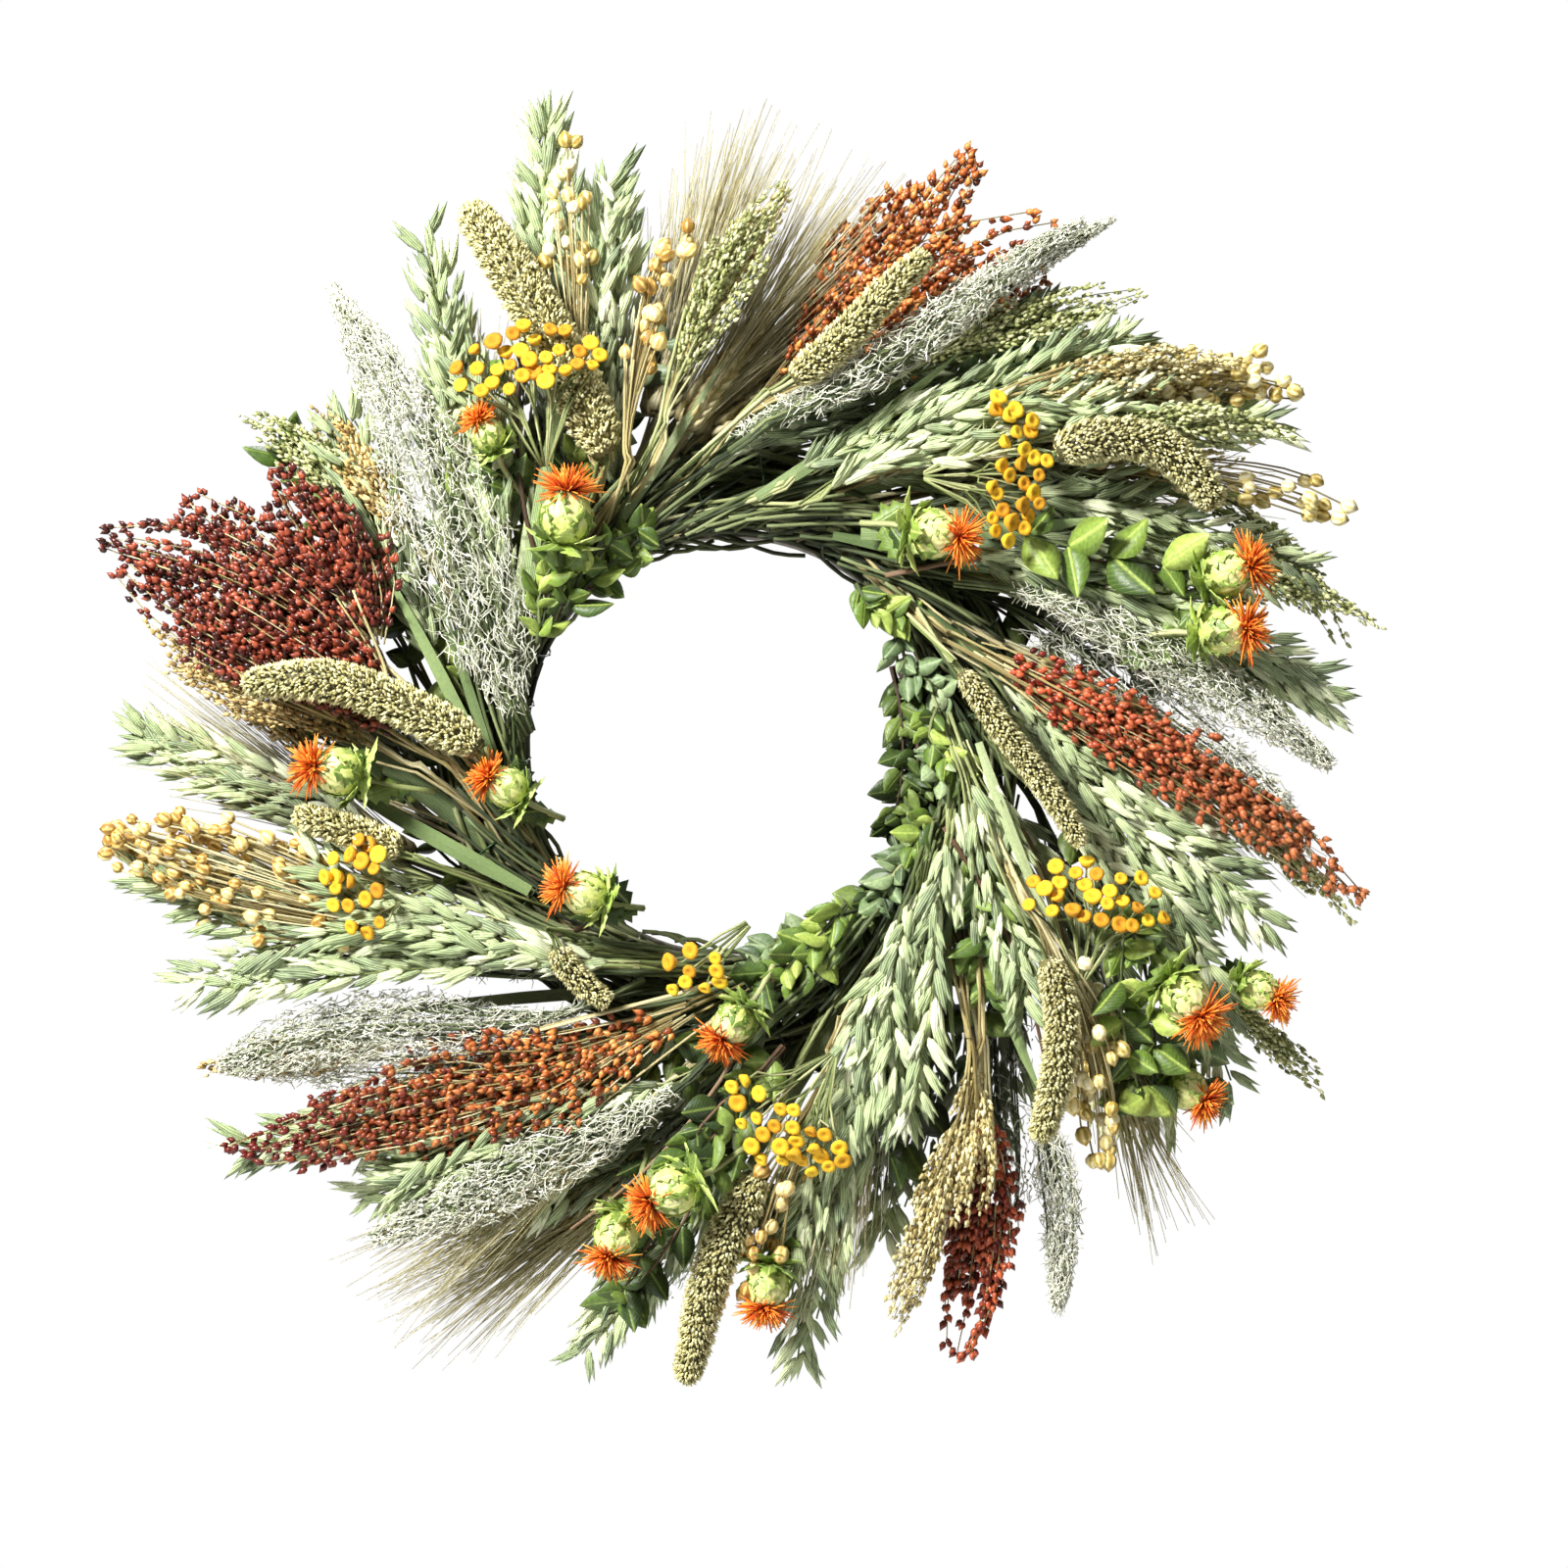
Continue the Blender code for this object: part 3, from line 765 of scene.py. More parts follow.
def bud_skin():
    """Safflower bud: pale yellow-green scales with white ribs and green tips."""
    skin = Skin("safflower_bud", 0.5)
    patch = skin.noise(170.0)
    body = skin.ramp(skin.z * 0.55 + patch * 0.6, (0.2, paint(158, 170, 72)), (0.5, paint(214, 216, 124)),
                     (0.85, paint(242, 240, 180)))
    ribs = ((skin.x * 40.0).sine() * (skin.y * 40.0).sine() * 0.5 + 0.5)
    mouth = (skin.z * 6.0 - 5.2).clamp()
    colour = skin.mix(mouth, skin.mix(ribs * 0.45, body, paint(148, 170, 70)), paint(120, 120, 44))
    return skin.finish(colour, patch * 0.3 + 0.35, ribs + skin.noise(900.0) * 0.5, 0.5, 0.0005)


def floret_skin():
    """Safflower florets: deep red-orange at the foot to bright orange at the tip."""
    skin = Skin("safflower_floret", 0.6)
    heat = skin.z * 0.5 + skin.tone * 0.5
    body = skin.ramp(heat, (0.1, paint(120, 24, 6)), (0.35, paint(206, 78, 10)), (0.65, paint(240, 128, 24)),
                     (1.0, paint(252, 184, 72)))
    aged = skin.mix((skin.ripe - 0.5).clamp() * 2.0, body, paint(206, 44, 18))
    return skin.finish(skin.shade(aged, skin.noise(900.0) * 0.5 + 0.75), skin.noise(800.0) * 0.2 + 0.5)


def wire_skin(name, base, rust, metallic):
    """Wire with dull patches and a little rust."""
    skin = Skin(name, 0.4, Metallic=metallic)
    patches = skin.noise(260.0, 4.0)
    spots = (skin.noise(900.0, 3.0) * 3.0 - 1.7).clamp()
    colour = skin.mix((patches * 1.6 - 0.7).clamp() * 0.5 + spots * 0.4, base, rust)
    return skin.finish(colour, patches * 0.4 + 0.25, patches + skin.noise(3000.0) * 0.4, 0.3, 0.0002)


HUSKS = husk_skin()
STALK = straw_skin("stalk_green", paint(66, 80, 30), paint(132, 144, 80), paint(208, 208, 152))
STRAW = straw_skin("stalk_straw", paint(122, 104, 54), paint(188, 172, 112), paint(236, 226, 178))
SHADE_STALK = straw_skin("stalk_shaded", paint(38, 48, 24), paint(84, 98, 54), paint(140, 150, 98))
BLADES = straw_skin("reed_blade", paint(92, 114, 62), paint(140, 160, 102), paint(192, 204, 152))
TWIG = straw_skin("brown_twig", paint(58, 38, 24), paint(104, 76, 52), paint(150, 122, 90))
FOXTAIL = bead_skin("foxtail_bead", paint(112, 104, 54), paint(182, 174, 112), paint(232, 226, 172), 0.7)
# The foxtail's core is painted dark, as the shade between the beads of the spike
FOXTAIL_SHADE_CORE = straw_skin("foxtail_core_painted_shade", paint(62, 58, 28), paint(88, 82, 42), paint(118, 112, 62))
ORANGE_GRAIN = grain_skin("sorghum_grain_orange", paint(76, 32, 12), paint(178, 88, 32), paint(234, 152, 76),
                          paint(104, 28, 20))
RED_GRAIN = grain_skin("sorghum_grain_red", paint(76, 20, 12), paint(154, 50, 26), paint(212, 98, 58),
                       paint(196, 122, 70))
RUST_GRAIN = grain_skin("sorghum_grain_rust", paint(70, 22, 12), paint(140, 52, 26), paint(200, 98, 56),
                        paint(130, 42, 24))
MAROON_GRAIN = grain_skin("sorghum_grain_maroon", paint(40, 12, 8), paint(104, 36, 22), paint(172, 82, 54),
                          paint(78, 22, 16))
FELT = plume_skin()
CREAM_SEED = bead_skin("millet_seed_cream", paint(136, 116, 60), paint(208, 192, 128), paint(240, 230, 180))
GREEN_SEED = bead_skin("millet_seed_green", paint(98, 104, 50), paint(166, 170, 104), paint(222, 222, 168))
TAN_SEED = bead_skin("millet_seed_tan", paint(124, 94, 44), paint(196, 164, 96), paint(232, 208, 146))
EAR = bead_skin("barley_kernel", paint(146, 128, 70), paint(204, 188, 126), paint(238, 226, 176))
AWNS = straw_skin("barley_awn", paint(164, 154, 98), paint(216, 206, 152), paint(248, 242, 208))
GOLD_POD = pod_skin("flax_pod_gold", paint(156, 116, 46), paint(230, 194, 110), paint(252, 232, 168))
CREAM_POD = pod_skin("flax_pod_cream", paint(166, 138, 58), paint(240, 220, 142), paint(254, 248, 210))
BUTTONS = button_skin()
DARK_LEAF = leaf_skin("leaf_dark", paint(34, 54, 16), paint(74, 100, 32), paint(134, 156, 70))
LIME_LEAF = leaf_skin("leaf_lime", paint(52, 76, 20), paint(104, 132, 44), paint(170, 188, 88))
BUD_LEAF = leaf_skin("bud_leaf", paint(92, 118, 38), paint(146, 172, 70), paint(208, 222, 130))
SAGE_LEAF = leaf_skin("leaf_sage", paint(70, 92, 56), paint(116, 140, 90), paint(168, 184, 134))
BUD_SCALE = bud_skin()
FLORETS = floret_skin()
BARE_WIRE = wire_skin("galvanised_wire_worn", paint(150, 146, 138), paint(104, 74, 52), 0.85)
GREEN_WIRE = wire_skin("green_wire_worn", paint(44, 72, 38), paint(24, 34, 20), 0.25)


# ---------------------------------------------------------------- how each plant grows

STALK_WIDTH = 0.8


def disc(rng, count):
    """Even random places in a unit disc."""
    radius = np.sqrt(rng.uniform(0, 1, count))
    angle = rng.uniform(0, 2 * math.pi, count)
    return radius * np.cos(angle), radius * np.sin(angle)


def stalks(pile, route, count, skin):
    """Stems from inside the rope, along the route, to where the head starts."""
    rng = pile.rng
    across, out = disc(rng, count)
    first = route.along(0.0)
    clock = clock_of(first)
    stops = []
    if reach_of(first) < 150.0:
        back = rng.uniform(18, 34, count)
        stops.append(place(clock - back, rng.uniform(92, 108, count), rng.uniform(-52, -22, count)))
        stops.append(route.inside(np.full(count, 0.06), across * 0.8, out * 0.8))
    for share in (route.head * 0.6, route.head, route.head + 0.3 * (1 - route.head)):
        stops.append(route.inside(np.full(count, share), across * 0.8, out * 0.8))
    paths = smooth(np.stack(stops, axis=1), 10)
    widths = np.linspace(1.0, 0.7, 10) * (STALK_WIDTH * rng.uniform(0.7, 1.3, count) * MM)[:, None]
    pile.bend(STRAW_10, paths, widths, skin=skin)


def oats(pile, route, pitch=9.6, size=16.5, crowd=5.8, ripe=0.4):
    """Rows of overlapping husks up thin stems, leaning to either side in turn."""
    rng = pile.rng
    lines = max(2, round(2.0 * route.head_width / MM / crowd))
    for line in range(lines):
        lane = (line + 0.5) / lines * 2.0 - 1.0 + rng.uniform(-0.1, 0.1)
        depth = rng.uniform(-0.7, 1.0)
        start = route.head * rng.uniform(0.5, 1.1)
        end = 1.0 - 0.16 * abs(lane) - rng.uniform(0.0, 0.12)
        count = max(4, int((end - start) * route.length / MM / pitch) * 2)
        share = np.linspace(start, end, count) + rng.uniform(-0.012, 0.012, count)
        sway = lane + 0.1 * np.sin(share * 9.0 + line)
        hand = np.where(np.arange(count) % 2 == 0, 1.0, -1.0)
        loose = np.clip(share - 0.5, 0.0, 0.5)
        places = route.inside(share, sway * 0.85 + hand * (0.07 + 0.3 * loose), np.full(count, depth * 0.8))
        heading = route.heading(share)
        side = unit(np.cross(VIEWER, heading))
        lean = heading + side * (hand * rng.uniform(0.1, 0.5, count) * (1.0 + loose))[:, None]
        lean = lean + VIEWER * rng.uniform(-0.25, 0.3, count)[:, None]
        sizes = size * rng.uniform(0.75, 1.15, count)[:, None] * MM * np.array((0.92, 0.9, 1.0))
        pile.scatter(HUSK, places, lean, sizes, spin=rng.uniform(-0.9, 0.9, count),
                     ripes=ripe + rng.uniform(-0.15, 0.15, count))
        track = np.linspace(route.head * 0.2, end, 10)
        path = route.inside(track, (lane + 0.1 * np.sin(track * 9.0 + line)) * 0.85, np.full(10, depth * 0.8))
        pile.bend(STRAW_10, path[None], np.full((1, 10), 0.45 * MM), skin=1)


def branches(pile, route, count, spread_from, skin, radius):
    """Thin branches that leave the middle of a head and fan towards its edge: their paths."""
    rng = pile.rng
    across, out = disc(rng, count)
    start = route.head + (1 - route.head) * rng.uniform(0.0, 0.55, count) ** 1.2
    end = np.minimum(start + (1 - route.head) * rng.uniform(0.28, 0.5, count), 0.995)
    end[: max(1, count // 8)] = rng.uniform(0.93, 1.0, max(1, count // 8))
    steps = np.linspace(0.0, 1.0, 6)
    share = start[:, None] + (end - start)[:, None] * steps
    fan = spread_from + (1.0 - spread_from) * steps ** 0.8
    paths = route.inside(share, across[:, None] * fan, out[:, None] * fan)
    pile.bend(STRAW_6, paths, np.broadcast_to(np.linspace(1.0, 0.6, 6) * radius * MM, (count, 6)), skin=skin)
    return paths, share


def on_paths(paths, steps):
    """Points and directions at shares (paths, k) of each path."""
    count = paths.shape[1]
    position = np.clip(steps * (count - 1), 0, count - 1.001)
    index = position.astype(int)
    t = (position - index)[..., None]
    rows = np.arange(len(paths))[:, None]
    start = paths[rows, index]
    end = paths[rows, index + 1]
    return start + (end - start) * t, unit(end - start)


def sorghum(pile, route, count=44, size=4.4, grains=24, ripe_from=0.3, ripe_to=0.3):
    """Branches loaded with pointed grains in twos and threes."""
    rng = pile.rng
    paths, share = branches(pile, route, count, 0.3, 1, 0.42)
    knots = np.repeat(np.linspace(0.2, 1.0, grains // 3), 3)
    steps = np.clip(knots + rng.uniform(-0.03, 0.03, (count, len(knots))), 0, 1)
    places, heading = on_paths(paths, steps)
    away = unit(rng.normal(0, 1, places.shape))
    away = unit(away - heading * np.sum(away * heading, axis=-1, keepdims=True))
    centres = places + away * (rng.uniform(0.3, 1.5, steps.shape) * MM)[..., None]
    lean = heading + away * rng.uniform(0.3, 0.9, steps.shape)[..., None]
    along = share[:, :1] + (share[:, -1:] - share[:, :1]) * steps
    ripes = ripe_from + (ripe_to - ripe_from) * along + rng.uniform(-0.1, 0.1, along.shape)
    sizes = size * rng.uniform(0.78, 1.12, steps.size) * MM
    pile.scatter(GRAIN, centres.reshape(-1, 3), lean.reshape(-1, 3), sizes, ripes=ripes.ravel())


def millet(pile, route, count=34, size=3.15, seeds=25, spread=0.4):
    """Fine branches set with small drop-shaped seeds."""
    rng = pile.rng
    paths, _ = branches(pile, route, count, spread, 1, 0.28)
    steps = np.clip(np.linspace(0.1, 1.0, seeds) + rng.uniform(-0.02, 0.02, (count, seeds)), 0, 1)
    places, heading = on_paths(paths, steps)
    away = unit(rng.normal(0, 1, places.shape))
    centres = places + away * (rng.uniform(0.3, 1.5, steps.shape) * MM)[..., None]
    sizes = (size * rng.uniform(0.75, 1.15, steps.size) * MM)[:, None] * np.array((0.72, 0.72, 1.0))
    pile.scatter(BEAD, centres.reshape(-1, 3), (heading + away * 0.45).reshape(-1, 3), sizes)


GOLDEN_ANGLE = 2.39996


def bristles(pile, places, lean):
    """Fine hairs that stand out from one bead in fourteen."""
    rng = pile.rng
    hairs = len(places) // 14
    choice = rng.integers(0, len(places), hairs)
    direction = unit(lean[choice] + rng.normal(0, 0.3, (hairs, 3)))
    reach = (rng.uniform(1.5, 3.6, hairs) * MM)[:, None, None] * np.linspace(0, 1, 4)[None, :, None]
    pile.bend(AWN, places[choice][:, None] + direction[:, None] * reach, np.linspace(0.10, 0.03, 4) * MM,
              tones=0.9)


def foxtail(pile, route, bead=1.45):
    """A dense spike: beads in whorled lumps round a dark core, with a few fine bristles. The core and the
    beads in the dips are painted dark as shade.
    """
    rng = pile.rng
    stations = np.linspace(route.head, 1.0, 14)
    outline = np.interp(stations, (route.head, route.head + 0.12, 0.75, 1.0), (0.7, 1.0, 0.95, 0.62))
    spike = outline * route.head_width
    route = Route(route.along(stations), spike, spike, 0.0)
    area = 2.0 * math.pi * route.head_width / MM * route.head_length / MM * 0.8
    count = int(area / (bead * bead * 0.72))
    share = route.head + (1 - route.head) * (np.arange(count) + 0.5) / count
    angle = np.arange(count) * GOLDEN_ANGLE + rng.uniform(-0.25, 0.25, count)
    lumps = np.abs(np.sin(share * route.length / MM * 0.55 + 0.9 * np.sin(angle * 2.0)))
    swell = 0.84 + 0.16 * lumps + rng.uniform(-0.05, 0.05, count)
    closing = np.clip((1.0 - share) / 0.05, 0.0, 1.0) ** 0.5
    opening = np.clip((share - route.head) / 0.06, 0.0, 1.0) ** 0.5
    swell = swell * (0.25 + 0.75 * closing) * (0.3 + 0.7 * opening)
    places = route.inside(share, np.cos(angle) * swell, np.sin(angle) * swell)
    middle = route.along(share)
    away = unit(places - middle)
    lean = away + route.heading(share) * 0.55 + rng.normal(0, 0.2, away.shape)
    sizes = (bead * rng.uniform(0.8, 1.3, count) * MM)[:, None] * np.array((0.95, 0.95, 1.4))
    # Beads sunk between the lumps get darker tones: painted shade
    tones = np.clip(lumps * 0.6 + rng.uniform(-0.1, 0.45, count), 0, 1)
    pile.scatter(GRIT, places - unit(lean) * 0.5 * MM, lean, sizes * 1.15, tones=tones)
    # The core under the beads, painted dark as the shade between them
    track = np.linspace(route.head, 0.985, 8)
    widths = np.interp(track, route.share, route.widths) * 0.8
    depths = np.interp(track, route.share, route.depths) * 0.8
    pile.bend(CORE, route.along(track)[None], widths[None], depths[None], skin=1)
    bristles(pile, places, lean)


def artemisia(pile, route, count=900, size=8.6, radius=0.27):
    """A tangle of curled felted leaflets over slender stems, ending in a budded tip."""
    rng = pile.rng
    stems = 7
    lanes, depths = disc(rng, stems)
    track = np.linspace(0.0, 0.99, 10)
    lines = route.inside(np.tile(track, (stems, 1)), lanes[:, None] * 0.7 * np.ones(10),
                         depths[:, None] * 0.7 * np.ones(10))
    pile.bend(STRAW_10, lines, np.broadcast_to(np.linspace(0.7, 0.35, 10) * MM, (stems, 10)), skin=1)
    share = route.head * 0.6 + (1 - route.head * 0.6) * rng.uniform(0, 1, count) ** 0.85
    across, out = disc(rng, count)
    out = np.where(rng.uniform(0, 1, count) < 0.4, np.abs(out), out)
    places = route.inside(share, across, out)
    heading = route.heading(share)
    wild = np.where(share > 0.8, 0.3, 0.55)[:, None]
    direction = unit(heading + rng.normal(0, 1, (count, 3)) * wild * np.array((1.0, 0.6, 1.0)))
    curl = unit(np.cross(direction, rng.normal(0, 1, (count, 3))))
    twist = unit(np.cross(direction, curl))
    steps = np.linspace(-0.5, 0.5, 4)[None, :, None]
    long = (size * rng.uniform(0.6, 1.25, count) * (1.2 - 0.6 * share) * MM)[:, None, None]
    bow = rng.uniform(0.2, 0.9, count)[:, None, None]
    paths = places[:, None] + long * (direction[:, None] * steps + curl[:, None] * bow * (steps ** 2 - 0.08)
                                      + twist[:, None] * bow * 1.6 * steps ** 3)
    thick = np.array((0.7, 1.0, 0.9, 0.5)) * (radius * rng.uniform(0.75, 1.35, count) * MM)[:, None]
    pile.bend(AWN, paths, thick)
    buds = count // 2
    along = route.head + (1 - route.head) * rng.uniform(0.15, 1.0, buds) ** 0.6
    lane, depth = disc(rng, buds)
    spots = route.inside(along, lane, depth)
    lean = route.heading(along) + rng.normal(0, 0.5, spots.shape)
    pile.scatter(GRIT, spots, lean, (rng.uniform(1.6, 2.6, buds) * MM)[:, None] * np.array((0.7, 0.7, 1.0)))


def ears(pile, places, headings, size=62.0, awn=75.0, awn_count=22):
    """Barley or wheat ears: kernels braided in two rows, each with a long awn."""
    rng = pile.rng
    pairs = 11
    for middle, heading in zip(places, unit(headings)):
        side = unit(np.cross(VIEWER, heading))
        front = np.cross(heading, side)
        step = np.repeat(np.arange(pairs), 3)
        row = np.tile(np.array((-1.0, 1.0, 0.0)), pairs)
        forward = np.tile(np.array((0.0, 0.0, 1.0)), pairs)
        run = (step + 0.5 * (row == 0)) / pairs * size * MM
        taper = 1.0 - 0.45 * (step / pairs) ** 2
        spots = middle + heading * run[:, None] + side * (row * 1.9 * taper * MM)[:, None]
        spots = spots + front * (forward * 1.5 * MM)[:, None]
        lean = heading + side * (row * 0.36)[:, None] + front * (forward * 0.3)[:, None]
        sizes = (9.0 * taper * rng.uniform(0.9, 1.1, len(step)) * MM)[:, None] * np.array((1.05, 0.95, 1.0))
        pile.scatter(KERNEL, spots, lean, sizes, spin=0.0)
        tips = spots + unit(lean) * 7.5 * MM
        chosen = rng.choice(len(step), awn_count)
        direction = unit(heading + side * (row[chosen] * 0.14 + rng.normal(0, 0.05, awn_count))[:, None]
                         + front * rng.normal(0.03, 0.06, awn_count)[:, None])
        length = (awn * rng.uniform(0.7, 1.1, awn_count) * MM)[:, None, None]
        reach = np.linspace(0.0, 1.0, 4)[None, :, None]
        sag = side * rng.normal(0, 0.05, awn_count)[:, None]
        paths = tips[chosen][:, None] + length * (direction[:, None] * reach + sag[:, None] * reach ** 2)
        pile.bend(AWN, paths, np.linspace(0.36, 0.14, 4) * MM * np.ones((awn_count, 1)), skin=1)


def barley(pile, route, count=9, size=58.0, awn=80.0, brush=1.0):
    """Several ears lying together, their awns making a brush."""
    rng = pile.rng
    lanes = (np.linspace(-0.8, 0.8, count) + rng.uniform(-0.1, 0.1, count)) * brush
    share = route.head * 0.8 + rng.uniform(0.0, 0.28, count) * (1 - route.head)
    limit = (size + awn * 0.75) * MM / route.length
    share = np.minimum(share, max(0.05, 1.0 - limit))
    places = route.inside(share, lanes * 0.8, rng.uniform(-0.6, 0.8, count))
    tips = route.inside(np.minimum(share + limit, 1.0), lanes * 1.1, np.zeros(count))
    ears(pile, places, tips - places, size, awn)


def flax(pile, route, count=26, size=7.2):
    """Thin branching stems, each ending in a round pod."""
    rng = pile.rng
    across, out = disc(rng, count)
    end = route.head + (1 - route.head) * rng.uniform(0.05, 1.0, count) ** 0.7
    start = np.maximum(end - rng.uniform(0.25, 0.6, count), 0.0)
    steps = np.linspace(0.0, 1.0, 6)
    share = start[:, None] + (end - start)[:, None] * steps
    fan = 0.35 + 0.65 * steps ** 1.4
    paths = route.inside(share, across[:, None] * fan, out[:, None] * fan)
    pile.bend(STRAW_6, paths, np.full((count, 6), 0.4 * MM), skin=1)
    lean = paths[:, -1] - paths[:, -2]
    lean = unit(lean) + rng.normal(0, 0.35, lean.shape)
    pile.scatter(POD, paths[:, -1], lean, size * rng.uniform(0.8, 1.1, count) * MM)


def tansy(pile, foot, tip, half_width, count=26, half_rise=13.0, size=7.8, half_depth=8.0):
    """A flat-topped umbel: forking stems that end in yellow buttons."""
    rng = pile.rng
    axis = unit(tip - foot)
    side = unit(np.cross(VIEWER, axis))
    front = np.cross(axis, side)
    height = np.linalg.norm(tip - foot)
    lanes = []
    rows = []
    for lane, row in rng.uniform(-1.0, 1.0, (600, 2)):
        gaps = [math.hypot((lane - other) * half_width, (row - level) * half_rise)
                for other, level in zip(lanes, rows)]
        if lane * lane + row * row < 1.0 and min(gaps, default=size) > size * 0.66 and len(lanes) < count:
            lanes.append(lane)
            rows.append(row)
    lanes = np.array(lanes)
    rows = np.array(rows)
    count = len(lanes)
    rise = height * (0.86 - 0.14 * lanes ** 2) + rows * half_rise * MM
    heads = foot + axis * rise[:, None] + side * (lanes * half_width * MM)[:, None]
    heads = heads + front * ((rng.uniform(-0.3, 0.3, count) - rows * 0.5) * half_depth * MM)[:, None]
    branch = np.round(lanes * 2.2) / 2.2
    behind = VIEWER * -0.006
    fork = foot + axis * (height * rng.uniform(0.4, 0.6, count))[:, None]
    fork = fork + side * (branch * half_width * 0.5 * MM)[:, None] + behind
    root = foot + side * (branch * 1.5 * MM)[:, None] + behind
    lean = axis * 0.55 + side * (lanes * 0.4)[:, None] + VIEWER * rng.uniform(0.3, 1.3, count)[:, None]
    lean = unit(lean + rng.normal(0, 0.16, lean.shape))
    paths = smooth(np.stack((root, 0.5 * (root + fork), fork, heads - lean * 5.0 * MM, heads), axis=1), 6)
    pile.bend(STRAW_6, paths, np.broadcast_to(np.linspace(0.6, 0.45, 6) * MM, (count, 6)), skin=1)
    pile.scatter(BUTTON, heads, lean, size * rng.uniform(0.75, 1.12, count) * MM)


def around(side, front, angle):
    """Directions at angles round a bud."""
    return side * np.cos(angle)[:, None] + front * np.sin(angle)[:, None]


def ruff(pile, bud, heading, side, front, size, count=15):
    """The ring of spiny bracts that stands out round the foot of a bud."""
    rng = pile.rng
    radial = around(side, front, np.arange(count) * 2 * math.pi / count + rng.uniform(-0.15, 0.15, count))
    low = bud + (radial * 0.32 - heading * 0.86) * size * 0.5 * MM
    spread = np.where(np.arange(count) % 2 == 0, 0.35, -0.3) + rng.uniform(-0.2, 0.2, count)
    lean = radial + heading * spread[:, None]
    sizes = (size * rng.uniform(0.5, 0.78, count) * MM)[:, None] * np.array((0.95, 1.0, 1.0))
    pile.scatter(BRACT, low, lean, sizes, skin=1, facing=heading, spin=0.0)


def bud_scales(pile, bud, heading, side, front, size, rows=2, in_row=8):
    """Scales that lie close on a bud in rows, each row half a step round from the last."""
    order = np.arange(rows * in_row)
    radial = around(side, front, (order * 2 + order // in_row) * math.pi / in_row)
    rise = (0.62 - 0.5 * (order // in_row))[:, None]
    low = bud + (radial * (0.66 + 0.18 * (1.0 - rise)) - heading * rise) * size * 0.5 * MM
    sizes = size * pile.rng.uniform(0.46, 0.62, (len(order), 1)) * MM * np.array((1.25, 1.0, 1.0))
    tuck = radial * np.where(rise > 0.4, 0.34, -0.12)
    pile.scatter(BRACT, low, heading + tuck, sizes, skin=1, facing=radial * -1.0, spin=0.0)


def floret_tuft(pile, bud, heading, side, front, size, aged, count=240):
    """Florets that burst from the mouth of a bud."""
    rng = pile.rng
    across, out = disc(rng, count)
    spread = side * across[:, None] + front * out[:, None]
    mouth = bud + (heading * 1.05 + spread * 0.3) * size * 0.5 * MM
    burst = unit(unit(rng.normal(0, 1.0, (count, 3))) + heading * 0.62 + spread * 0.4)
    steps = np.linspace(0, 1, 4)[None, :, None]
    reach = (size * 0.5 * rng.uniform(0.55, 1.15, count) * MM)[:, None, None] * steps
    fall = spread[:, None] * reach * steps * 0.3
    thick = np.array((0.34, 0.42, 0.5, 0.22)) * MM * rng.uniform(0.8, 1.2, (count, 1))
    pile.bend(AWN, mouth[:, None] + burst[:, None] * reach + fall, thick, skin=2,
              ripes=np.clip(aged + rng.uniform(-0.2, 0.2, count), 0, 1))


def stem_leaves(pile, foot, bud, heading, side, count):
    """Spiny leaves up the stem of a safflower, to either side in turn."""
    rng = pile.rng
    run = rng.uniform(0.0, 0.7, count)
    spots = foot + (bud - foot) * run[:, None]
    hand = np.where(np.arange(count) % 2 == 0, 1.0, -1.0)
    lean = heading * 0.7 + side * (hand * rng.uniform(0.4, 0.9, count))[:, None]
    lean = lean + VIEWER * rng.uniform(-0.3, 0.3, count)[:, None]
    sizes = rng.uniform(13, 20, count)[:, None] * MM * np.array((0.95, 1.0, 1.0))
    pile.scatter(BRACT, spots, lean, sizes, skin=4, spin=rng.uniform(-0.5, 0.5, count),
                 tones=rng.uniform(0.0, 0.8, count))


def safflower(pile, foot, bud, heading, size, aged=0.4, leaves=5):
    """A stem, a globe of scales in a ruff of spiny bracts, and a tuft of florets from its mouth."""
    heading = unit(heading)
    side = unit(np.cross(VIEWER, heading))
    front = np.cross(heading, side)
    low = bud - heading * size * 0.5 * MM
    pile.scatter(BUD, low[None], heading[None], size * MM, spin=pile.rng.uniform(0, 6, 1))
    stem = smooth(np.stack((foot, 0.5 * (foot + bud) + side * 1.5 * MM, low)), 6)
    pile.bend(STRAW_6, stem[None], np.full((1, 6), 1.4 * MM), skin=3)
    ruff(pile, bud, heading, side, front, size)
    bud_scales(pile, bud, heading, side, front, size)
    floret_tuft(pile, bud, heading, side, front, size, aged)
    stem_leaves(pile, foot, bud, heading, side, leaves)


def greens(pile, route, pairs=6, size=16.0, stems=2):
    """Leafy twigs with leaves in pairs."""
    rng = pile.rng
    for _ in range(stems):
        lane = rng.uniform(-0.6, 0.6)
        depth = rng.uniform(-0.5, 0.9)
        track = np.linspace(0.0, 0.96, 6)
        path = route.inside(track, np.full(6, lane), np.full(6, depth))
        pile.bend(STRAW_6, path[None], np.linspace(0.9, 0.5, 6)[None] * MM, skin=1)
        share = np.repeat(np.linspace(0.12, 0.97, pairs), 2) + rng.uniform(-0.04, 0.03, 2 * pairs)
        hand = np.tile((1.0, -1.0), pairs)
        places = route.inside(share, np.full(len(share), lane), np.full(len(share), depth))
        heading = route.heading(share)
        side = unit(np.cross(VIEWER, heading))
        lean = heading * rng.uniform(0.3, 1.5, len(share))[:, None] + side * hand[:, None]
        lean = lean + VIEWER * rng.uniform(-0.5, 0.8, len(share))[:, None]
        sizes = (size * rng.uniform(0.55, 1.25, len(share)) * MM)[:, None]
        sizes = sizes * np.stack((rng.uniform(1.0, 1.5, len(share)), np.full(len(share), 1.1),
                                  np.ones(len(share))), axis=1)
        pile.scatter(LEAF, places, lean, sizes, spin=rng.uniform(-0.9, 0.9, len(share)))


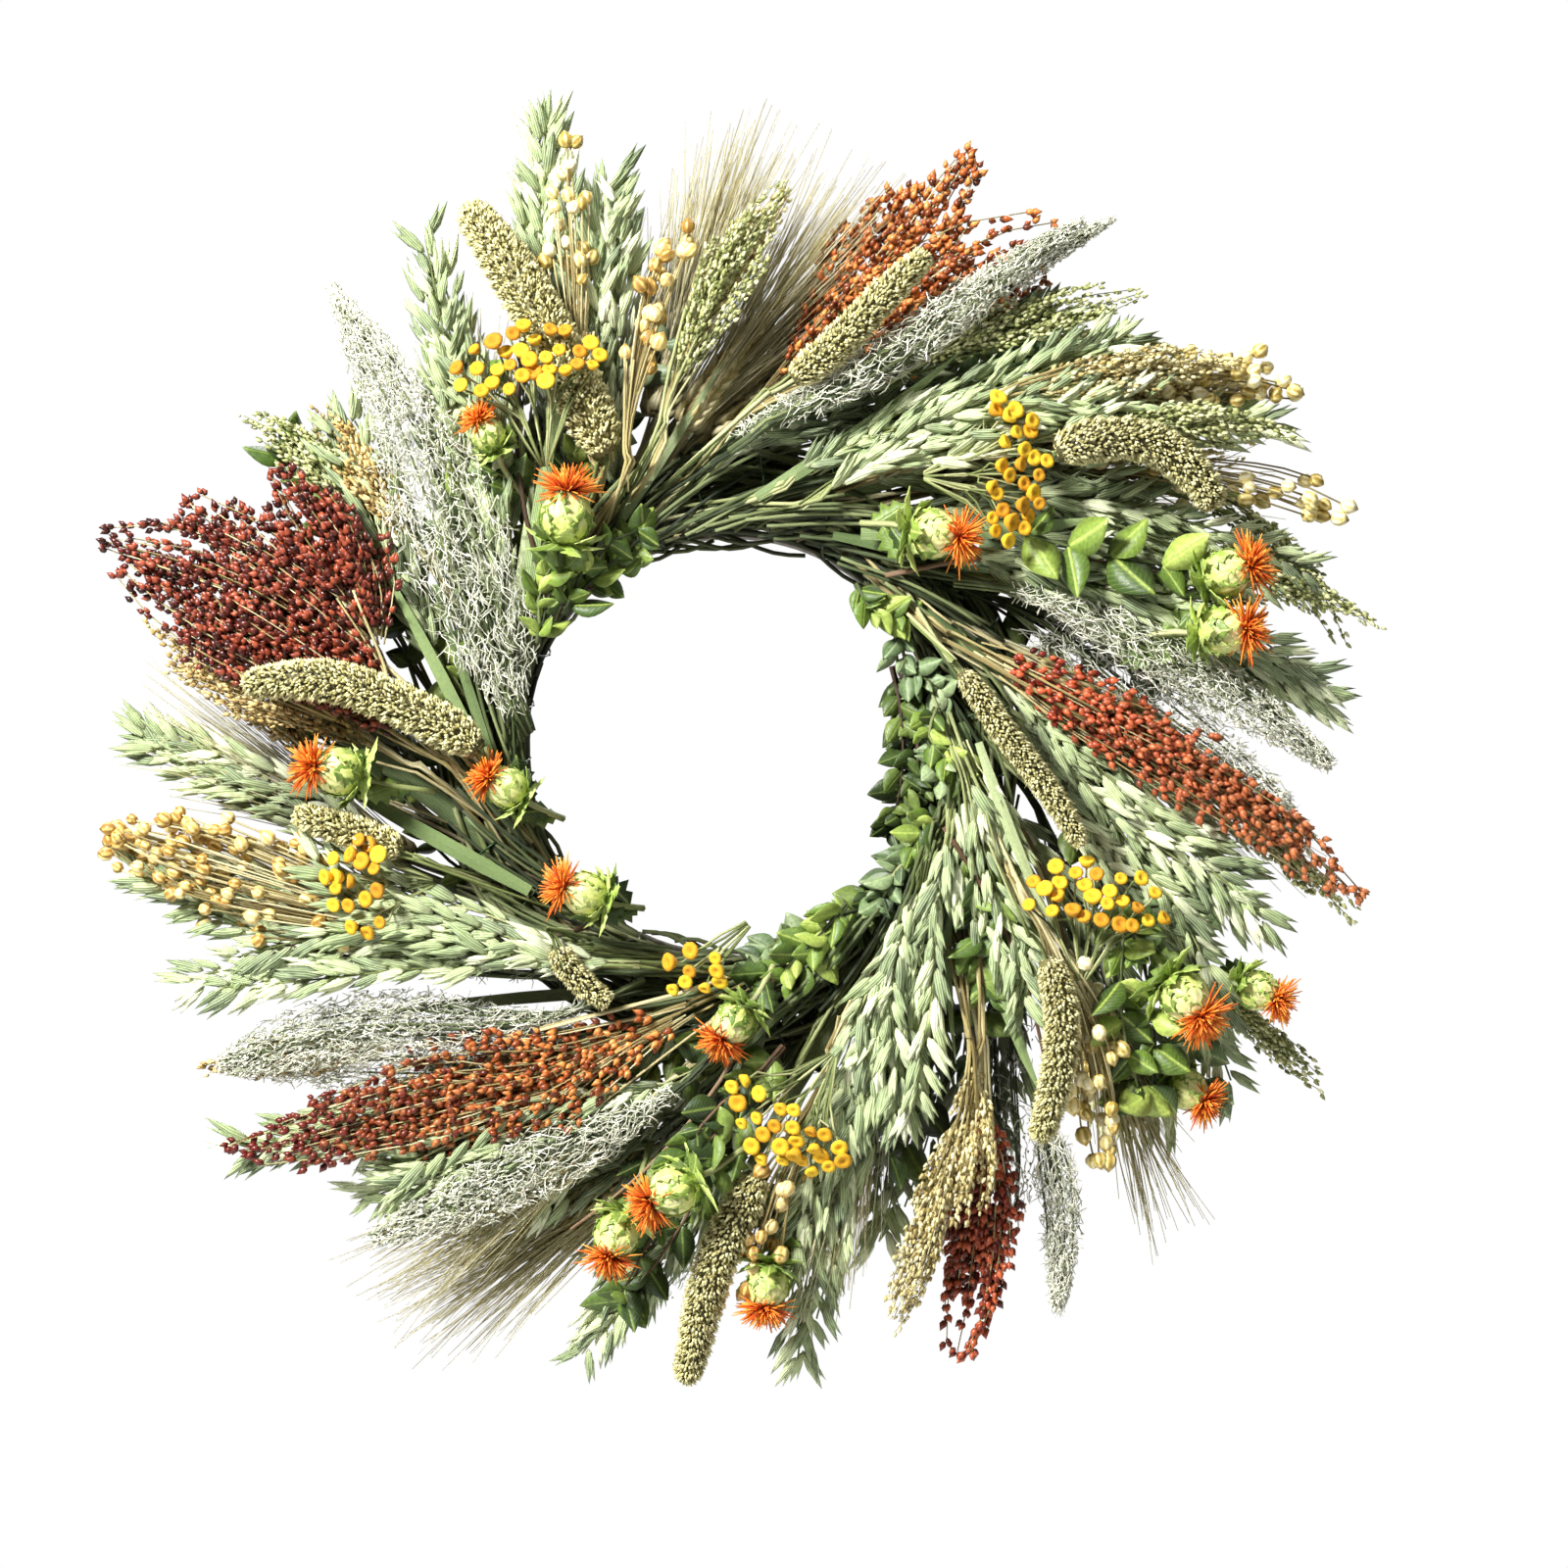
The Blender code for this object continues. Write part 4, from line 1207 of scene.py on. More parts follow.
def blades(pile, clocks, reaches, depth, sweep, rise, width):
    """Long flat leaves from the rope outwards: clock and reach where each starts."""
    rng = pile.rng
    count = len(clocks)
    steps = np.linspace(0.0, 1.0, 6)
    level = depth + rng.uniform(-5, 5, count)
    start = place(clocks, reaches, level)
    far = reaches + rise * rng.uniform(0.6, 1.1, count)
    end = place(clocks + sweep * rng.uniform(0.8, 1.2, count), far, level * droop(far))
    bow = place(clocks + 90.0, np.ones(count), level) - place(clocks, np.zeros(count), level)
    sag = (rng.uniform(-6, 10, count))[:, None, None] * (steps * (1 - steps))[:, None] * 4.0
    paths = start[:, None] + (end - start)[:, None] * steps[:, None] + bow[:, None] * sag
    shape = np.array((0.7, 1.0, 1.0, 0.85, 0.55, 0.06))
    widths = width * shape * rng.uniform(0.7, 1.3, (count, 1)) * MM
    pile.bend(STRAW_6, paths, widths, widths * 0.12, facing=VIEWER + np.array((0.12, 0.0, -0.12)))


KINDS = {
    "oats": (oats, (HUSKS, STALK), "oat_green", 6),
    "foxtail": (foxtail, (FOXTAIL, FOXTAIL_SHADE_CORE, STALK), "foxtail_green", 4),
    "sorghum_orange": (sorghum, (ORANGE_GRAIN, STRAW), "sorghum_orange", 6),
    "sorghum_red": (sorghum, (RED_GRAIN, STRAW), "sorghum_red", 6),
    "sorghum_rust": (sorghum, (RUST_GRAIN, STRAW), "sorghum_red", 6),
    "sorghum_maroon": (sorghum, (MAROON_GRAIN, STRAW), "sorghum_maroon", 6),
    "artemisia": (artemisia, (FELT, SHADE_STALK), "artemisia_white", 5),
    "millet_cream": (millet, (CREAM_SEED, STRAW), "millet_cream", 6),
    "millet_green": (millet, (GREEN_SEED, STALK), "millet_cream", 6),
    "millet_tan": (millet, (TAN_SEED, STRAW), "millet_cream", 6),
    "barley": (barley, (EAR, AWNS), "barley_straw", 7),
    "flax_gold": (flax, (GOLD_POD, STRAW), "flax_gold", 7),
    "flax_cream": (flax, (CREAM_POD, STRAW), "flax_gold", 7),
    "leaves_dark": (greens, (DARK_LEAF, TWIG), "leaf_green", 0),
    "leaves_lime": (greens, (LIME_LEAF, SHADE_STALK), "leaf_green", 0),
    "leaves_sage": (greens, (SAGE_LEAF, STALK), "leaf_green", 0),
}


def grow(kind, name, route, *nodes, **settings):
    """One sprig of a kind, on its stems, as one piece."""
    draw, skins, slot, stems = KINDS[kind]
    pile = Pile(name)
    if stems:
        stalks(pile, route, stems, len(skins) - 1)
    draw(pile, route, **settings)
    pile.finish(skins, slot, *nodes)


# Sprigs that stand for a plain solid: its name, kind, where its head starts and how it grows
SPRIGS = (
    ("foxtail_top_left", "foxtail", 0.05, {}),
    ("foxtail_top", "foxtail", 0.25, {}),
    ("foxtail_right", "foxtail", 0.02, {}),
    ("foxtail_inner_right", "foxtail", 0.15, {"bead": 1.35}),
    ("foxtail_lower_right", "foxtail", 0.25, {}),
    ("foxtail_bottom", "foxtail", 0.35, {}),
    ("foxtail_left", "foxtail", 0.10, {}),
    ("sorghum_orange", "sorghum_orange", 0.30, {"count": 50, "ripe_from": 0.1, "ripe_to": 0.2}),
    ("sorghum_red", "sorghum_red", 0.14, {"count": 52, "ripe_from": 0.1, "ripe_to": 1.0}),
    ("sorghum_rust", "sorghum_rust", 0.35, {"count": 40}),
    ("sorghum_ember", "sorghum_orange", 0.06, {"count": 62, "ripe_from": 0.0, "ripe_to": 1.15}),
    ("sorghum_maroon", "sorghum_maroon", 0.25, {"count": 48}),
    ("artemisia_left", "artemisia", 0.10, {"count": 2200}),
    ("artemisia_top", "artemisia", 0.15, {"count": 1200}),
    ("artemisia_right", "artemisia", 0.15, {"count": 1000}),
    ("artemisia_lower_left", "artemisia", 0.15, {"count": 1200}),
    ("oats_top", "oats", 0.25, {}),
    ("oats_top_right", "oats", 0.25, {}),
    ("oats_right", "oats", 0.25, {}),
    ("oats_inner_right", "oats", 0.25, {}),
    ("oats_lower_right", "oats", 0.25, {}),
    ("oats_left", "oats", 0.25, {}),
    ("oats_far_left", "oats", 0.25, {}),
    ("barley_top", "barley", 0.30, {"count": 14, "brush": 1.6}),
    ("barley_bottom", "barley", 0.30, {"count": 16, "brush": 1.7}),
    ("millet_top", "millet_cream", 0.35, {"count": 34}),
    ("millet_upper_right", "millet_green", 0.35, {"count": 44}),
    ("millet_bottom", "millet_cream", 0.35, {"count": 44}),
    ("millet_lower_right", "millet_green", 0.35, {"count": 36}),
    ("flax_lower_right", "flax_cream", 0.45, {"count": 26}),
    ("flax_left", "flax_gold", 0.45, {"count": 64, "size": 6.6}),
)

for node, kind, head, settings in SPRIGS:
    grow(kind, f"{node}_sprig", solid_route(node, head), node, **settings)

# Sprigs among them: name, kind, depth, half width, (clock, reach) stops from root to tip, how it grows
FILLING_SPRIGS = (
    ("oats_upper_left", "oats", -60, 15, ((-68, 92), (-41, 156), (-34, 218)), {}),
    ("oats_top_back", "oats", -46, 12, ((-26, 102), (-17, 180), (-11, 255)), {}),
    ("oats_upper_right", "oats", -56, 13, ((-20, 100), (23, 165), (41, 255)), {}),
    ("oats_upper_right_front", "oats", -72, 14, ((14, 98), (39, 172), (52, 240)), {}),
    ("oats_right_low", "oats", -58, 16, ((65, 100), (96, 163), (110, 258)), {}),
    ("oats_lower_right_inner", "oats", -66, 13, ((101, 96), (147, 125), (170, 190)), {}),
    ("oats_lower_left", "oats", -60, 15, ((177, 126), (205, 181), (220, 252)), {}),
    ("oats_left_inner", "oats", -70, 12, ((-162, 98), (-128, 132), (-104, 190)), {}),
    ("oats_right_middle", "oats", -52, 14, ((34, 120), (56, 170), (66, 232)), {}),
    ("sorghum_orange_fan", "sorghum_orange", -58, 34, ((-10, 111), (20, 192), (33, 264)), {"count": 48}),
    ("sorghum_maroon_upper", "sorghum_maroon", -68, 22, ((-84, 140), (-67, 172), (-59, 226)),
     {"count": 44}),
    ("sorghum_maroon_lower", "sorghum_maroon", -70, 20, ((-98, 110), (-82, 160), (-74, 225)),
     {"count": 40}),
    ("flax_left_front", "flax_gold", -66, 27, ((-134, 116), (-110, 190), (-98, 268)),
     {"count": 70, "size": 6.6}),
    ("artemisia_right_back", "artemisia", -68, 13, ((54, 118), (78, 186), (92, 258)), {"count": 1200}),
    ("artemisia_left_low", "artemisia", -60, 17, ((-160, 107), (-130, 188), (-122, 260)), {"count": 1400}),
    ("artemisia_lower_left_long", "artemisia", -66, 15, ((-178, 130), (-156, 195), (-144, 262)),
     {"count": 1200}),
    ("artemisia_bottom_right", "artemisia", -44, 11, ((138, 190), (143, 235), (150, 284)), {"count": 800}),
    ("flax_upper_right_long", "flax_cream", -50, 20, ((40, 140), (50, 220), (55, 284)), {"count": 34}),
    ("millet_upper_right_full", "millet_cream", -40, 22, ((36, 140), (52, 210), (60, 262)), {"count": 40}),
    ("millet_right_full", "millet_green", -38, 20, ((52, 150), (68, 205), (74, 268)), {"count": 36}),
    ("millet_lower_right_full", "millet_green", -36, 18, ((112, 150), (128, 200), (136, 250)),
     {"count": 30}),
    ("barley_lower_left", "barley", -60, 22, ((-172, 140), (-156, 196), (-148, 262)), {"count": 9}),
    ("sorghum_maroon_wide", "sorghum_maroon", -50, 24, ((-88, 130), (-73, 180), (-66, 262)), {"count": 40}),
    ("millet_far_left", "millet_tan", -44, 14, ((-100, 150), (-84, 210), (-78, 262)), {"count": 26}),
    ("oats_bottom_tip", "oats", -40, 14, ((170, 140), (186, 200), (194, 276)), {}),
    ("barley_lower_right", "barley", -48, 15, ((141, 118), (165, 170), (171, 226)), {"count": 7}),
    ("wheat_lower_right", "barley", -56, 12, ((118, 150), (131, 225), (137, 276)),
     {"count": 6, "awn": 55.0}),
    ("millet_right_upper", "millet_green", -44, 13, ((55, 190), (64, 240), (81, 270)), {"count": 22}),
    ("millet_right", "millet_green", -40, 14, ((84, 150), (96, 210), (104, 268)), {"count": 22}),
    ("millet_bottom_front", "millet_cream", -68, 13, ((138, 150), (146, 190), (153, 228)), {"count": 22}),
    ("millet_left_upper", "millet_green", -52, 14, ((-64, 140), (-56, 205), (-56, 255)), {"count": 26}),
    ("millet_left_tan", "millet_tan", -60, 11, ((-60, 140), (-54, 190), (-51, 232)), {"count": 22}),
    ("millet_left", "millet_tan", -58, 13, ((-98, 121), (-87, 175), (-82, 246)), {"count": 26}),
    ("millet_lower_left", "millet_tan", -50, 14, ((-134, 180), (-126, 230), (-121, 272)), {"count": 26}),
    ("flax_top", "flax_cream", -60, 12, ((-28, 114), (-19, 204), (-15, 270)), {"count": 26}),
    ("flax_top_inner", "flax_gold", -74, 11, ((-22, 116), (-12, 176), (-5, 222)), {"count": 24}),
    ("flax_upper_right", "flax_cream", -58, 15, ((30, 131), (48, 213), (54, 284)), {"count": 30}),
    ("flax_right_low", "flax_cream", -74, 14, ((115, 130), (128, 190), (138, 236)), {"count": 34}),
    ("flax_bottom", "flax_gold", -64, 13, ((158, 125), (173, 186), (178, 236)), {"count": 30}),
    ("foxtail_small_lower_left", "foxtail", -78, 5, ((-135, 107), (-144, 117), (-155, 121)), {"bead": 1.4}),
    ("foxtail_small_left", "foxtail", -78, 6.5, ((-112, 134), (-104, 160), (-99, 187)), {"bead": 1.5}),
    ("oats_right_upper", "oats", -62, 15, ((50, 112), (74, 186), (88, 272)), {}),
    ("oats_lower_right_long", "oats", -56, 14, ((98, 130), (113, 200), (124, 262)), {}),
    ("oats_left_low", "oats", -52, 15, ((-140, 120), (-113, 195), (-100, 276)), {}),
    ("oats_bottom_long", "oats", -46, 13, ((150, 130), (168, 200), (174, 276)), {}),
    ("oats_top_left_long", "oats", -58, 10, ((-60, 130), (-38, 196), (-31, 256)), {}),
    ("millet_upper_right_low", "millet_cream", -58, 15, ((38, 150), (47, 212), (52, 266)), {"count": 34}),
    ("millet_upper_right_high", "millet_green", -66, 13, ((20, 150), (34, 215), (42, 262)), {"count": 30}),
    ("millet_far_right", "millet_green", -50, 14, ((62, 180), (72, 240), (80, 286)), {"count": 30}),
    ("barley_upper_left", "barley", -50, 15, ((-62, 118), (-40, 165), (-33, 205)),
     {"count": 7, "awn": 60.0}),
    ("barley_left", "barley", -30, 16, ((-116, 130), (-96, 190), (-88, 240)), {"count": 8}),
    ("barley_top_right", "barley", -54, 16, ((-12, 130), (6, 180), (12, 236)), {"count": 9}),
    ("leaves_lower_right", "leaves_dark", -62, 15, ((112, 112), (124, 130), (134, 152)), {"stems": 3}),
    ("leaves_right", "leaves_lime", -74, 12, ((52, 150), (62, 170), (68, 200)),
     {"stems": 1, "pairs": 4, "size": 23.0}),
    ("leaves_bottom", "leaves_dark", -72, 13, ((170, 130), (182, 156), (186, 176)), {"stems": 2}),
    ("leaves_top_left_inner", "leaves_lime", -66, 12, ((-52, 90), (-36, 96), (-22, 98)),
     {"pairs": 4, "size": 15.0}),
    ("leaves_bottom_inner", "leaves_lime", -66, 12, ((144, 84), (158, 92), (172, 104)),
     {"stems": 2, "size": 14.0}),
    ("leaves_upper_left", "leaves_dark", -44, 16, ((-72, 140), (-60, 190), (-56, 232)),
     {"stems": 3, "size": 17.0}),
    ("leaves_upper_right", "leaves_sage", -54, 14, ((26, 150), (36, 190), (42, 222)), {"stems": 2}),
    ("leaves_lower_left", "leaves_dark", -52, 16, ((178, 150), (186, 205), (191, 246)),
     {"stems": 3, "size": 17.0}),
    ("leaves_left_inner", "leaves_lime", -68, 10, ((-62, 92), (-50, 100), (-38, 108)),
     {"stems": 2, "size": 12.0}),
    ("oats_far_upper_right", "oats", -50, 12, ((34, 150), (50, 215), (60, 278)), {}),
    ("millet_upper_right_front", "millet_cream", -76, 14, ((34, 170), (44, 215), (53, 272)), {"count": 34}),
    ("millet_right_front", "millet_green", -74, 13, ((46, 196), (54, 235), (61, 276)), {"count": 30}),
    ("sorghum_maroon_tips", "sorghum_maroon", -66, 26, ((-90, 150), (-79, 205), (-73, 276)), {"count": 34}),
    ("artemisia_top_front", "artemisia", -80, 10, ((0, 124), (22, 174), (34, 270)), {"count": 900}),
    ("millet_top_front", "millet_green", -78, 15, ((-15, 126), (-3, 181), (6, 241)), {"count": 36}),
    ("leaves_lower_right_front", "leaves_lime", -68, 16, ((110, 176), (122, 204), (130, 232)),
     {"stems": 3, "size": 17.0}),
    ("leaves_lower_right_far", "leaves_sage", -52, 18, ((104, 190), (118, 226), (126, 252)),
     {"stems": 3, "size": 17.0}),
    ("leaves_bottom_left_inner", "leaves_dark", -56, 16, ((178, 112), (189, 136), (202, 160)),
     {"stems": 3}),
    ("oats_bottom_left_long", "oats", -40, 13, ((196, 150), (212, 205), (220, 262)), {}),
    ("oats_far_right", "oats", -54, 12, ((50, 160), (66, 215), (76, 272)), {}),
    ("flax_far_upper_right", "flax_cream", -58, 18, ((36, 170), (48, 232), (58, 286)), {"count": 26}),
    ("flax_far_right", "flax_cream", -44, 18, ((48, 170), (60, 236), (70, 288)), {"count": 24}),
    ("millet_far_lower_right", "millet_green", -46, 12, ((86, 170), (98, 230), (106, 284)), {"count": 22}),
    ("oats_far_lower_left", "oats", -44, 12, ((206, 160), (222, 220), (232, 284)), {}),
)

for name, kind, depth, half_width, stops, settings in FILLING_SPRIGS:
    grow(kind, name, drawn_route(stops, depth, half_width), **settings)

INNER_GREENS = drawn_route(((64, 78), (90, 77), (118, 79)), -42, 7, 11, head=0.1)
grow("leaves_dark", "greens_inner_right_sprig", INNER_GREENS, "greens_inner_right",
     pairs=9, stems=4, size=13.0)


UNDER_SPRAYS = 54
UNDER_STEP = 30.3


def under_growth():
    """Sprays of oats, seeds, ears and leaves that close the wreath behind the named sprigs."""
    kinds = ("oats", "leaves_sage", "barley", "millet_green", "oats", "leaves_dark", "oats", "artemisia",
             "oats", "millet_tan", "leaves_lime")
    chance = np.random.default_rng(11)
    sparse = {"oats": {"crowd": 8.5, "pitch": 11.0}, "barley": {"count": 5, "awn": 60.0},
              "artemisia": {"count": 240}, "millet_green": {"count": 15}, "millet_tan": {"count": 15}}
    for turn in range(UNDER_SPRAYS):
        kind = kinds[turn % len(kinds)]
        clock = turn * UNDER_STEP + chance.uniform(-5, 5)
        depth = chance.choice((-14.0, -24.0, -34.0, -44.0, -54.0))
        lean = chance.uniform(32, 52)
        far = chance.uniform(170, 200) if kind.startswith("leaves") else chance.uniform(212, 276)
        stops = ((clock, 108), (clock + lean * 0.7, 110 + (far - 110) * 0.5), (clock + lean, far))
        route = drawn_route(stops, depth, chance.uniform(12, 18))
        grow(kind, f"under_growth_{turn + 1}", route, **sparse.get(kind, {}))


def inner_leaves():
    """Small leafy twigs along the inner edge, over the rope."""
    chance = np.random.default_rng(5)
    clocks = (-44, 38, 56, 70, 80, 90, 100, 110, 120, 130, 142, 158)
    for turn, clock in enumerate(clocks):
        reach = chance.uniform(83, 92)
        turned = clock + chance.uniform(12, 20)
        stops = ((clock, reach + 4), (0.5 * (clock + turned), reach), (turned, reach + chance.uniform(2, 16)))
        kind = ("leaves_dark", "leaves_lime", "leaves_sage")[turn % 3]
        grow(kind, f"inner_leaves_{turn + 1}", drawn_route(stops, chance.uniform(-62, -44), 6, 6, head=0.1),
             pairs=5, stems=2, size=12.0)


BOUND_REACH = ROPE_REACH + 2.0
BOUND_RADIUS = ROPE_RADIUS - 3.5
BOUND_DEPTH = ROPE_MIDDLE + 1.5
BOUND_HALF_DEPTH = 24.5
BINDING_TURNS = 24
BINDING_WIRE = 0.5
BINDING_GAP = 0.6
BINDING_DEPTH = -28.0
BINDING_HALF_DEPTH = 27.3
BINDING_REAR_SQUARENESS = 0.35
LOOP_EYES_WITHIN = 15.0
LOOP_EYES_FRONT = -10.0
BUNDLES = 6
BUNDLE_SWEEP = 360.0 / BUNDLES


def bound_reach(clock):
    """The middle of the rope, a little further out at the top and bottom than at the sides."""
    return BOUND_REACH + 4.0 * np.cos(np.radians(clock)) ** 2


def binding():
    """Green wire wound round the rope and the rings, drawn square over the back."""
    pile = Pile("binding")
    steps = np.linspace(0.0, 1.0, 10)
    for quarter in range(4):
        turn = np.radians(90.0 * (quarter + steps))
        clock = (np.arange(BINDING_TURNS)[:, None] + (quarter + steps) / 4.0) * 360.0 / BINDING_TURNS
        squareness = BINDING_REAR_SQUARENESS if quarter in (0, 3) else 1.0
        sine = np.sign(np.sin(turn)) * np.abs(np.sin(turn)) ** squareness
        cosine = np.sign(np.cos(turn)) * np.abs(np.cos(turn)) ** squareness
        reach = bound_reach(clock) + (BOUND_RADIUS + BINDING_GAP) * sine
        paths = place(clock, reach, BINDING_DEPTH + BINDING_HALF_DEPTH * cosine)
        pile.bend(STRAW_10, paths, np.full(paths.shape[:2], BINDING_WIRE * MM))
    pile.finish([GREEN_WIRE], "green_wire", "binding_wire")


def clear_of_loop(clock, depth):
    """Keeps straws in front of the hanging loop's eyes, which turn round the top of the outer ring."""
    beside = np.abs((clock + 180.0) % 360.0 - 180.0) < LOOP_EYES_WITHIN
    return np.where(beside, np.minimum(depth, LOOP_EYES_FRONT), depth)


def bundle_straws(pile, bundle, count=130):
    """The straws of one bundle, most of them near its outside."""
    first = bundle * BUNDLE_SWEEP + pile.rng.uniform(-12, 60, count)
    across, out = disc(pile.rng, count)
    edge = np.maximum(np.hypot(across, out), 0.01) ** 0.4
    across = across / edge
    out = out / edge
    steps = np.linspace(0.0, 1.0, 10)
    turn = pile.rng.uniform(28, 52, count)[:, None]
    clock = first[:, None] + turn * steps
    slide = pile.rng.uniform(-0.25, 0.6, count)[:, None] * (steps - 0.4)
    reach = bound_reach(clock) + BOUND_RADIUS * np.clip(across[:, None] + slide, -1, 1.0)
    depth = BOUND_DEPTH + BOUND_HALF_DEPTH * out[:, None] * (0.9 + 0.1 * np.sin(steps * 5.0))
    widths = (pile.rng.uniform(0.6, 1.4, count) * MM)[:, None] * np.ones(10)
    pile.bend(STRAW_10, place(clock, reach, clear_of_loop(clock, depth)), widths)


def loose_straws(pile, bundle, count=26):
    """Straws that leave a bundle over its front."""
    steps = np.linspace(0.0, 1.0, 10)
    first = bundle * BUNDLE_SWEEP + pile.rng.uniform(0, 60, count)
    clock = first[:, None] + pile.rng.uniform(25, 40, count)[:, None] * steps
    reach = 95.0 + 26.0 * steps ** 1.4 + pile.rng.uniform(-5, 6, count)[:, None]
    depth = pile.rng.uniform(-66, -50, count)[:, None]
    pile.bend(STRAW_10, place(clock, reach, depth), np.full((count, 10), 0.8 * MM), skin=1)


def rear_straws(pile, bundle, count=30):
    """Straws that lie between a bundle and the two rings of the frame."""
    steps = np.linspace(0.0, 1.0, 10)
    first = bundle * BUNDLE_SWEEP + pile.rng.uniform(0, 60, count)
    clock = first[:, None] + pile.rng.uniform(25, 45, count)[:, None] * steps
    reach = pile.rng.uniform(90, 123, count)[:, None] + 4.0 * np.sin(steps * 6.0)
    depth = clear_of_loop(clock, pile.rng.uniform(-17, -8.6, count)[:, None])
    pile.bend(STRAW_10, place(clock, reach, depth), np.full((count, 10), 1.0 * MM))


def rope():
    """The ring of stems: bundles of straws sweeping along and slowly outwards, round the wire frame."""
    for bundle in range(BUNDLES):
        pile = Pile(f"stems_{bundle + 1}")
        bundle_straws(pile, bundle)
        loose_straws(pile, bundle)
        rear_straws(pile, bundle)
        pile.finish([STALK, SHADE_STALK], "stem_straw", f"stem_bundle_{bundle + 1}")


def reeds():
    """Long flat blades and a few bare brown twigs lying among the sprigs."""
    pile = Pile("reed_blades")
    clocks = np.array((-52, 8, 34, 62, 86, 108, 132, 190, 236, 264)) + pile.rng.uniform(-4, 4, 10)
    blades(pile, clocks, np.full(10, 106.0), -66.0, 30.0, 92.0, 3.2)
    blades(pile, clocks + 11, np.full(10, 110.0), -46.0, 34.0, 110.0, 3.6)
    blades(pile, clocks + 20, np.full(10, 100.0), -58.0, 38.0, 70.0, 2.4)
    pile.finish([BLADES], "leaf_green", smooth_faces=False)
    twigs = Pile("brown_twigs")
    clocks = np.array((-140, -48, 40, 110, 170)) + twigs.rng.uniform(-4, 4, 5)
    steps = np.linspace(0.0, 1.0, 10)
    paths = place(clocks[:, None] + 30 * steps, 98 + 120 * steps ** 1.2, -66.0)
    twigs.bend(STRAW_10, paths, np.linspace(1.3, 0.6, 10) * MM)
    twigs.finish([TWIG], "stem_straw")


def toward(heading):
    """The direction of a clock angle in the plane of the ring."""
    angle = math.radians(heading)
    return np.array((math.sin(angle), 0.0, math.cos(angle)))


FRONT_DEPTH = -82.0
# Safflowers: name, (clock, reach) of the bud, heading of its tuft, stem length, depth, size, and whether
# it stands for a plain solid
SAFFLOWERS = (
    ("safflower_top_left", (-36, 118), 5, 22, FRONT_DEPTH, 23, True),
    ("safflower_upper_right", (44, 124), 100, 20, FRONT_DEPTH, 22, True),
    ("safflower_right_upper", (71, 223), 72, 34, FRONT_DEPTH, 21, True),
    ("safflower_right_lower", (77, 214), 85, 34, FRONT_DEPTH, 21, True),
    ("safflower_lower_right", (119, 221), 140, 34, FRONT_DEPTH, 22, True),
    ("safflower_bottom", (187, 190), 240, 26, FRONT_DEPTH, 22, True),
    ("safflower_left", (-94, 166), -78, 30, FRONT_DEPTH, 21, True),
    ("safflower_inner_lower_left", (-136, 88), -75, 16, FRONT_DEPTH, 19, True),
    ("safflower_top_left_high", (-38, 167), -30, 24, -74.0, 15, False),
    ("safflower_far_right_a", (115, 250), 112, 40, -62.0, 18, False),
    ("safflower_far_right_b", (127, 246), 124, 40, -60.0, 18, False),
    ("safflower_bottom_low", (176, 232), 186, 36, -66.0, 19, False),
    ("safflower_bottom_left", (-167, 214), 200, 30, -72.0, 20, False),
    ("safflower_bottom_inner", (179, 118), 215, 20, -80.0, 18, False),
    ("safflower_left_inner", (-101, 96), -60, 18, -78.0, 18, False),
)


def safflowers():
    """Every safflower, each one piece."""
    for name, (clock, reach), heading, stem, depth, size, solid in SAFFLOWERS:
        pile = Pile(f"{name}_flower")
        bud = place(clock, reach, depth * droop(reach))
        foot = bud - toward(heading) * (stem + size / 2) * MM + np.array((0.0, 0.014, 0.0))
        tilt = toward(heading) + VIEWER * pile.rng.uniform(0.1, 0.4)
        safflower(pile, foot, bud, tilt, size)
        pile.finish([BUD_SCALE, BUD_LEAF, FLORETS, STALK, DARK_LEAF], "safflower_orange",
                    *([name] if solid else []))


# Tansies: name, (clock, reach) of the umbel, heading, half width, stem length, how many buttons, and
# whether it stands for a plain solid
TANSIES = (
    ("tansy_top_left", (-28, 184), -10, 32, 34, 30, True),
    ("tansy_right", (46, 166), 88, 30, 26, 28, True),
    ("tansy_lower_right", (113, 168), 8, 29, 24, 26, True),
    ("tansy_bottom", (172, 164), 215, 28, 26, 26, True),
    ("tansy_left", (-111, 166), -92, 20, 18, 18, True),
    ("tansy_inner_bottom", (-173, 93), 230, 10, 14, 9, False),
)


def tansies():
    """Every umbel of tansy, each one piece."""
    for name, (clock, reach), heading, half_width, stem, count, solid in TANSIES:
        pile = Pile(f"{name}_umbel")
        middle = place(clock, reach, FRONT_DEPTH * droop(reach))
        foot = middle - toward(heading) * (stem + 11.0) * MM
        tip = middle + toward(heading) * 8.0 * MM
        tansy(pile, foot, tip, half_width, count)
        pile.finish([BUTTONS, STALK], "tansy_yellow", *([name] if solid else []))


RING_WIRE = 1.6


def wire_ring(name, node, radius, thickness):
    """One smooth ring of the wire frame."""
    fresh()
    bpy.ops.mesh.primitive_torus_add(major_radius=radius * MM, minor_radius=thickness * MM,
                                     major_segments=120, minor_segments=10,
                                     rotation=(math.pi / 2, 0.0, 0.0), location=RING_MIDDLE)
    bpy.ops.object.transform_apply(location=True, rotation=True, scale=True)
    bpy.ops.object.shade_smooth()
    made = bpy.context.object
    made.name = name
    made.data.materials.append(BARE_WIRE)
    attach(made, "wreath")
    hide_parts(node)


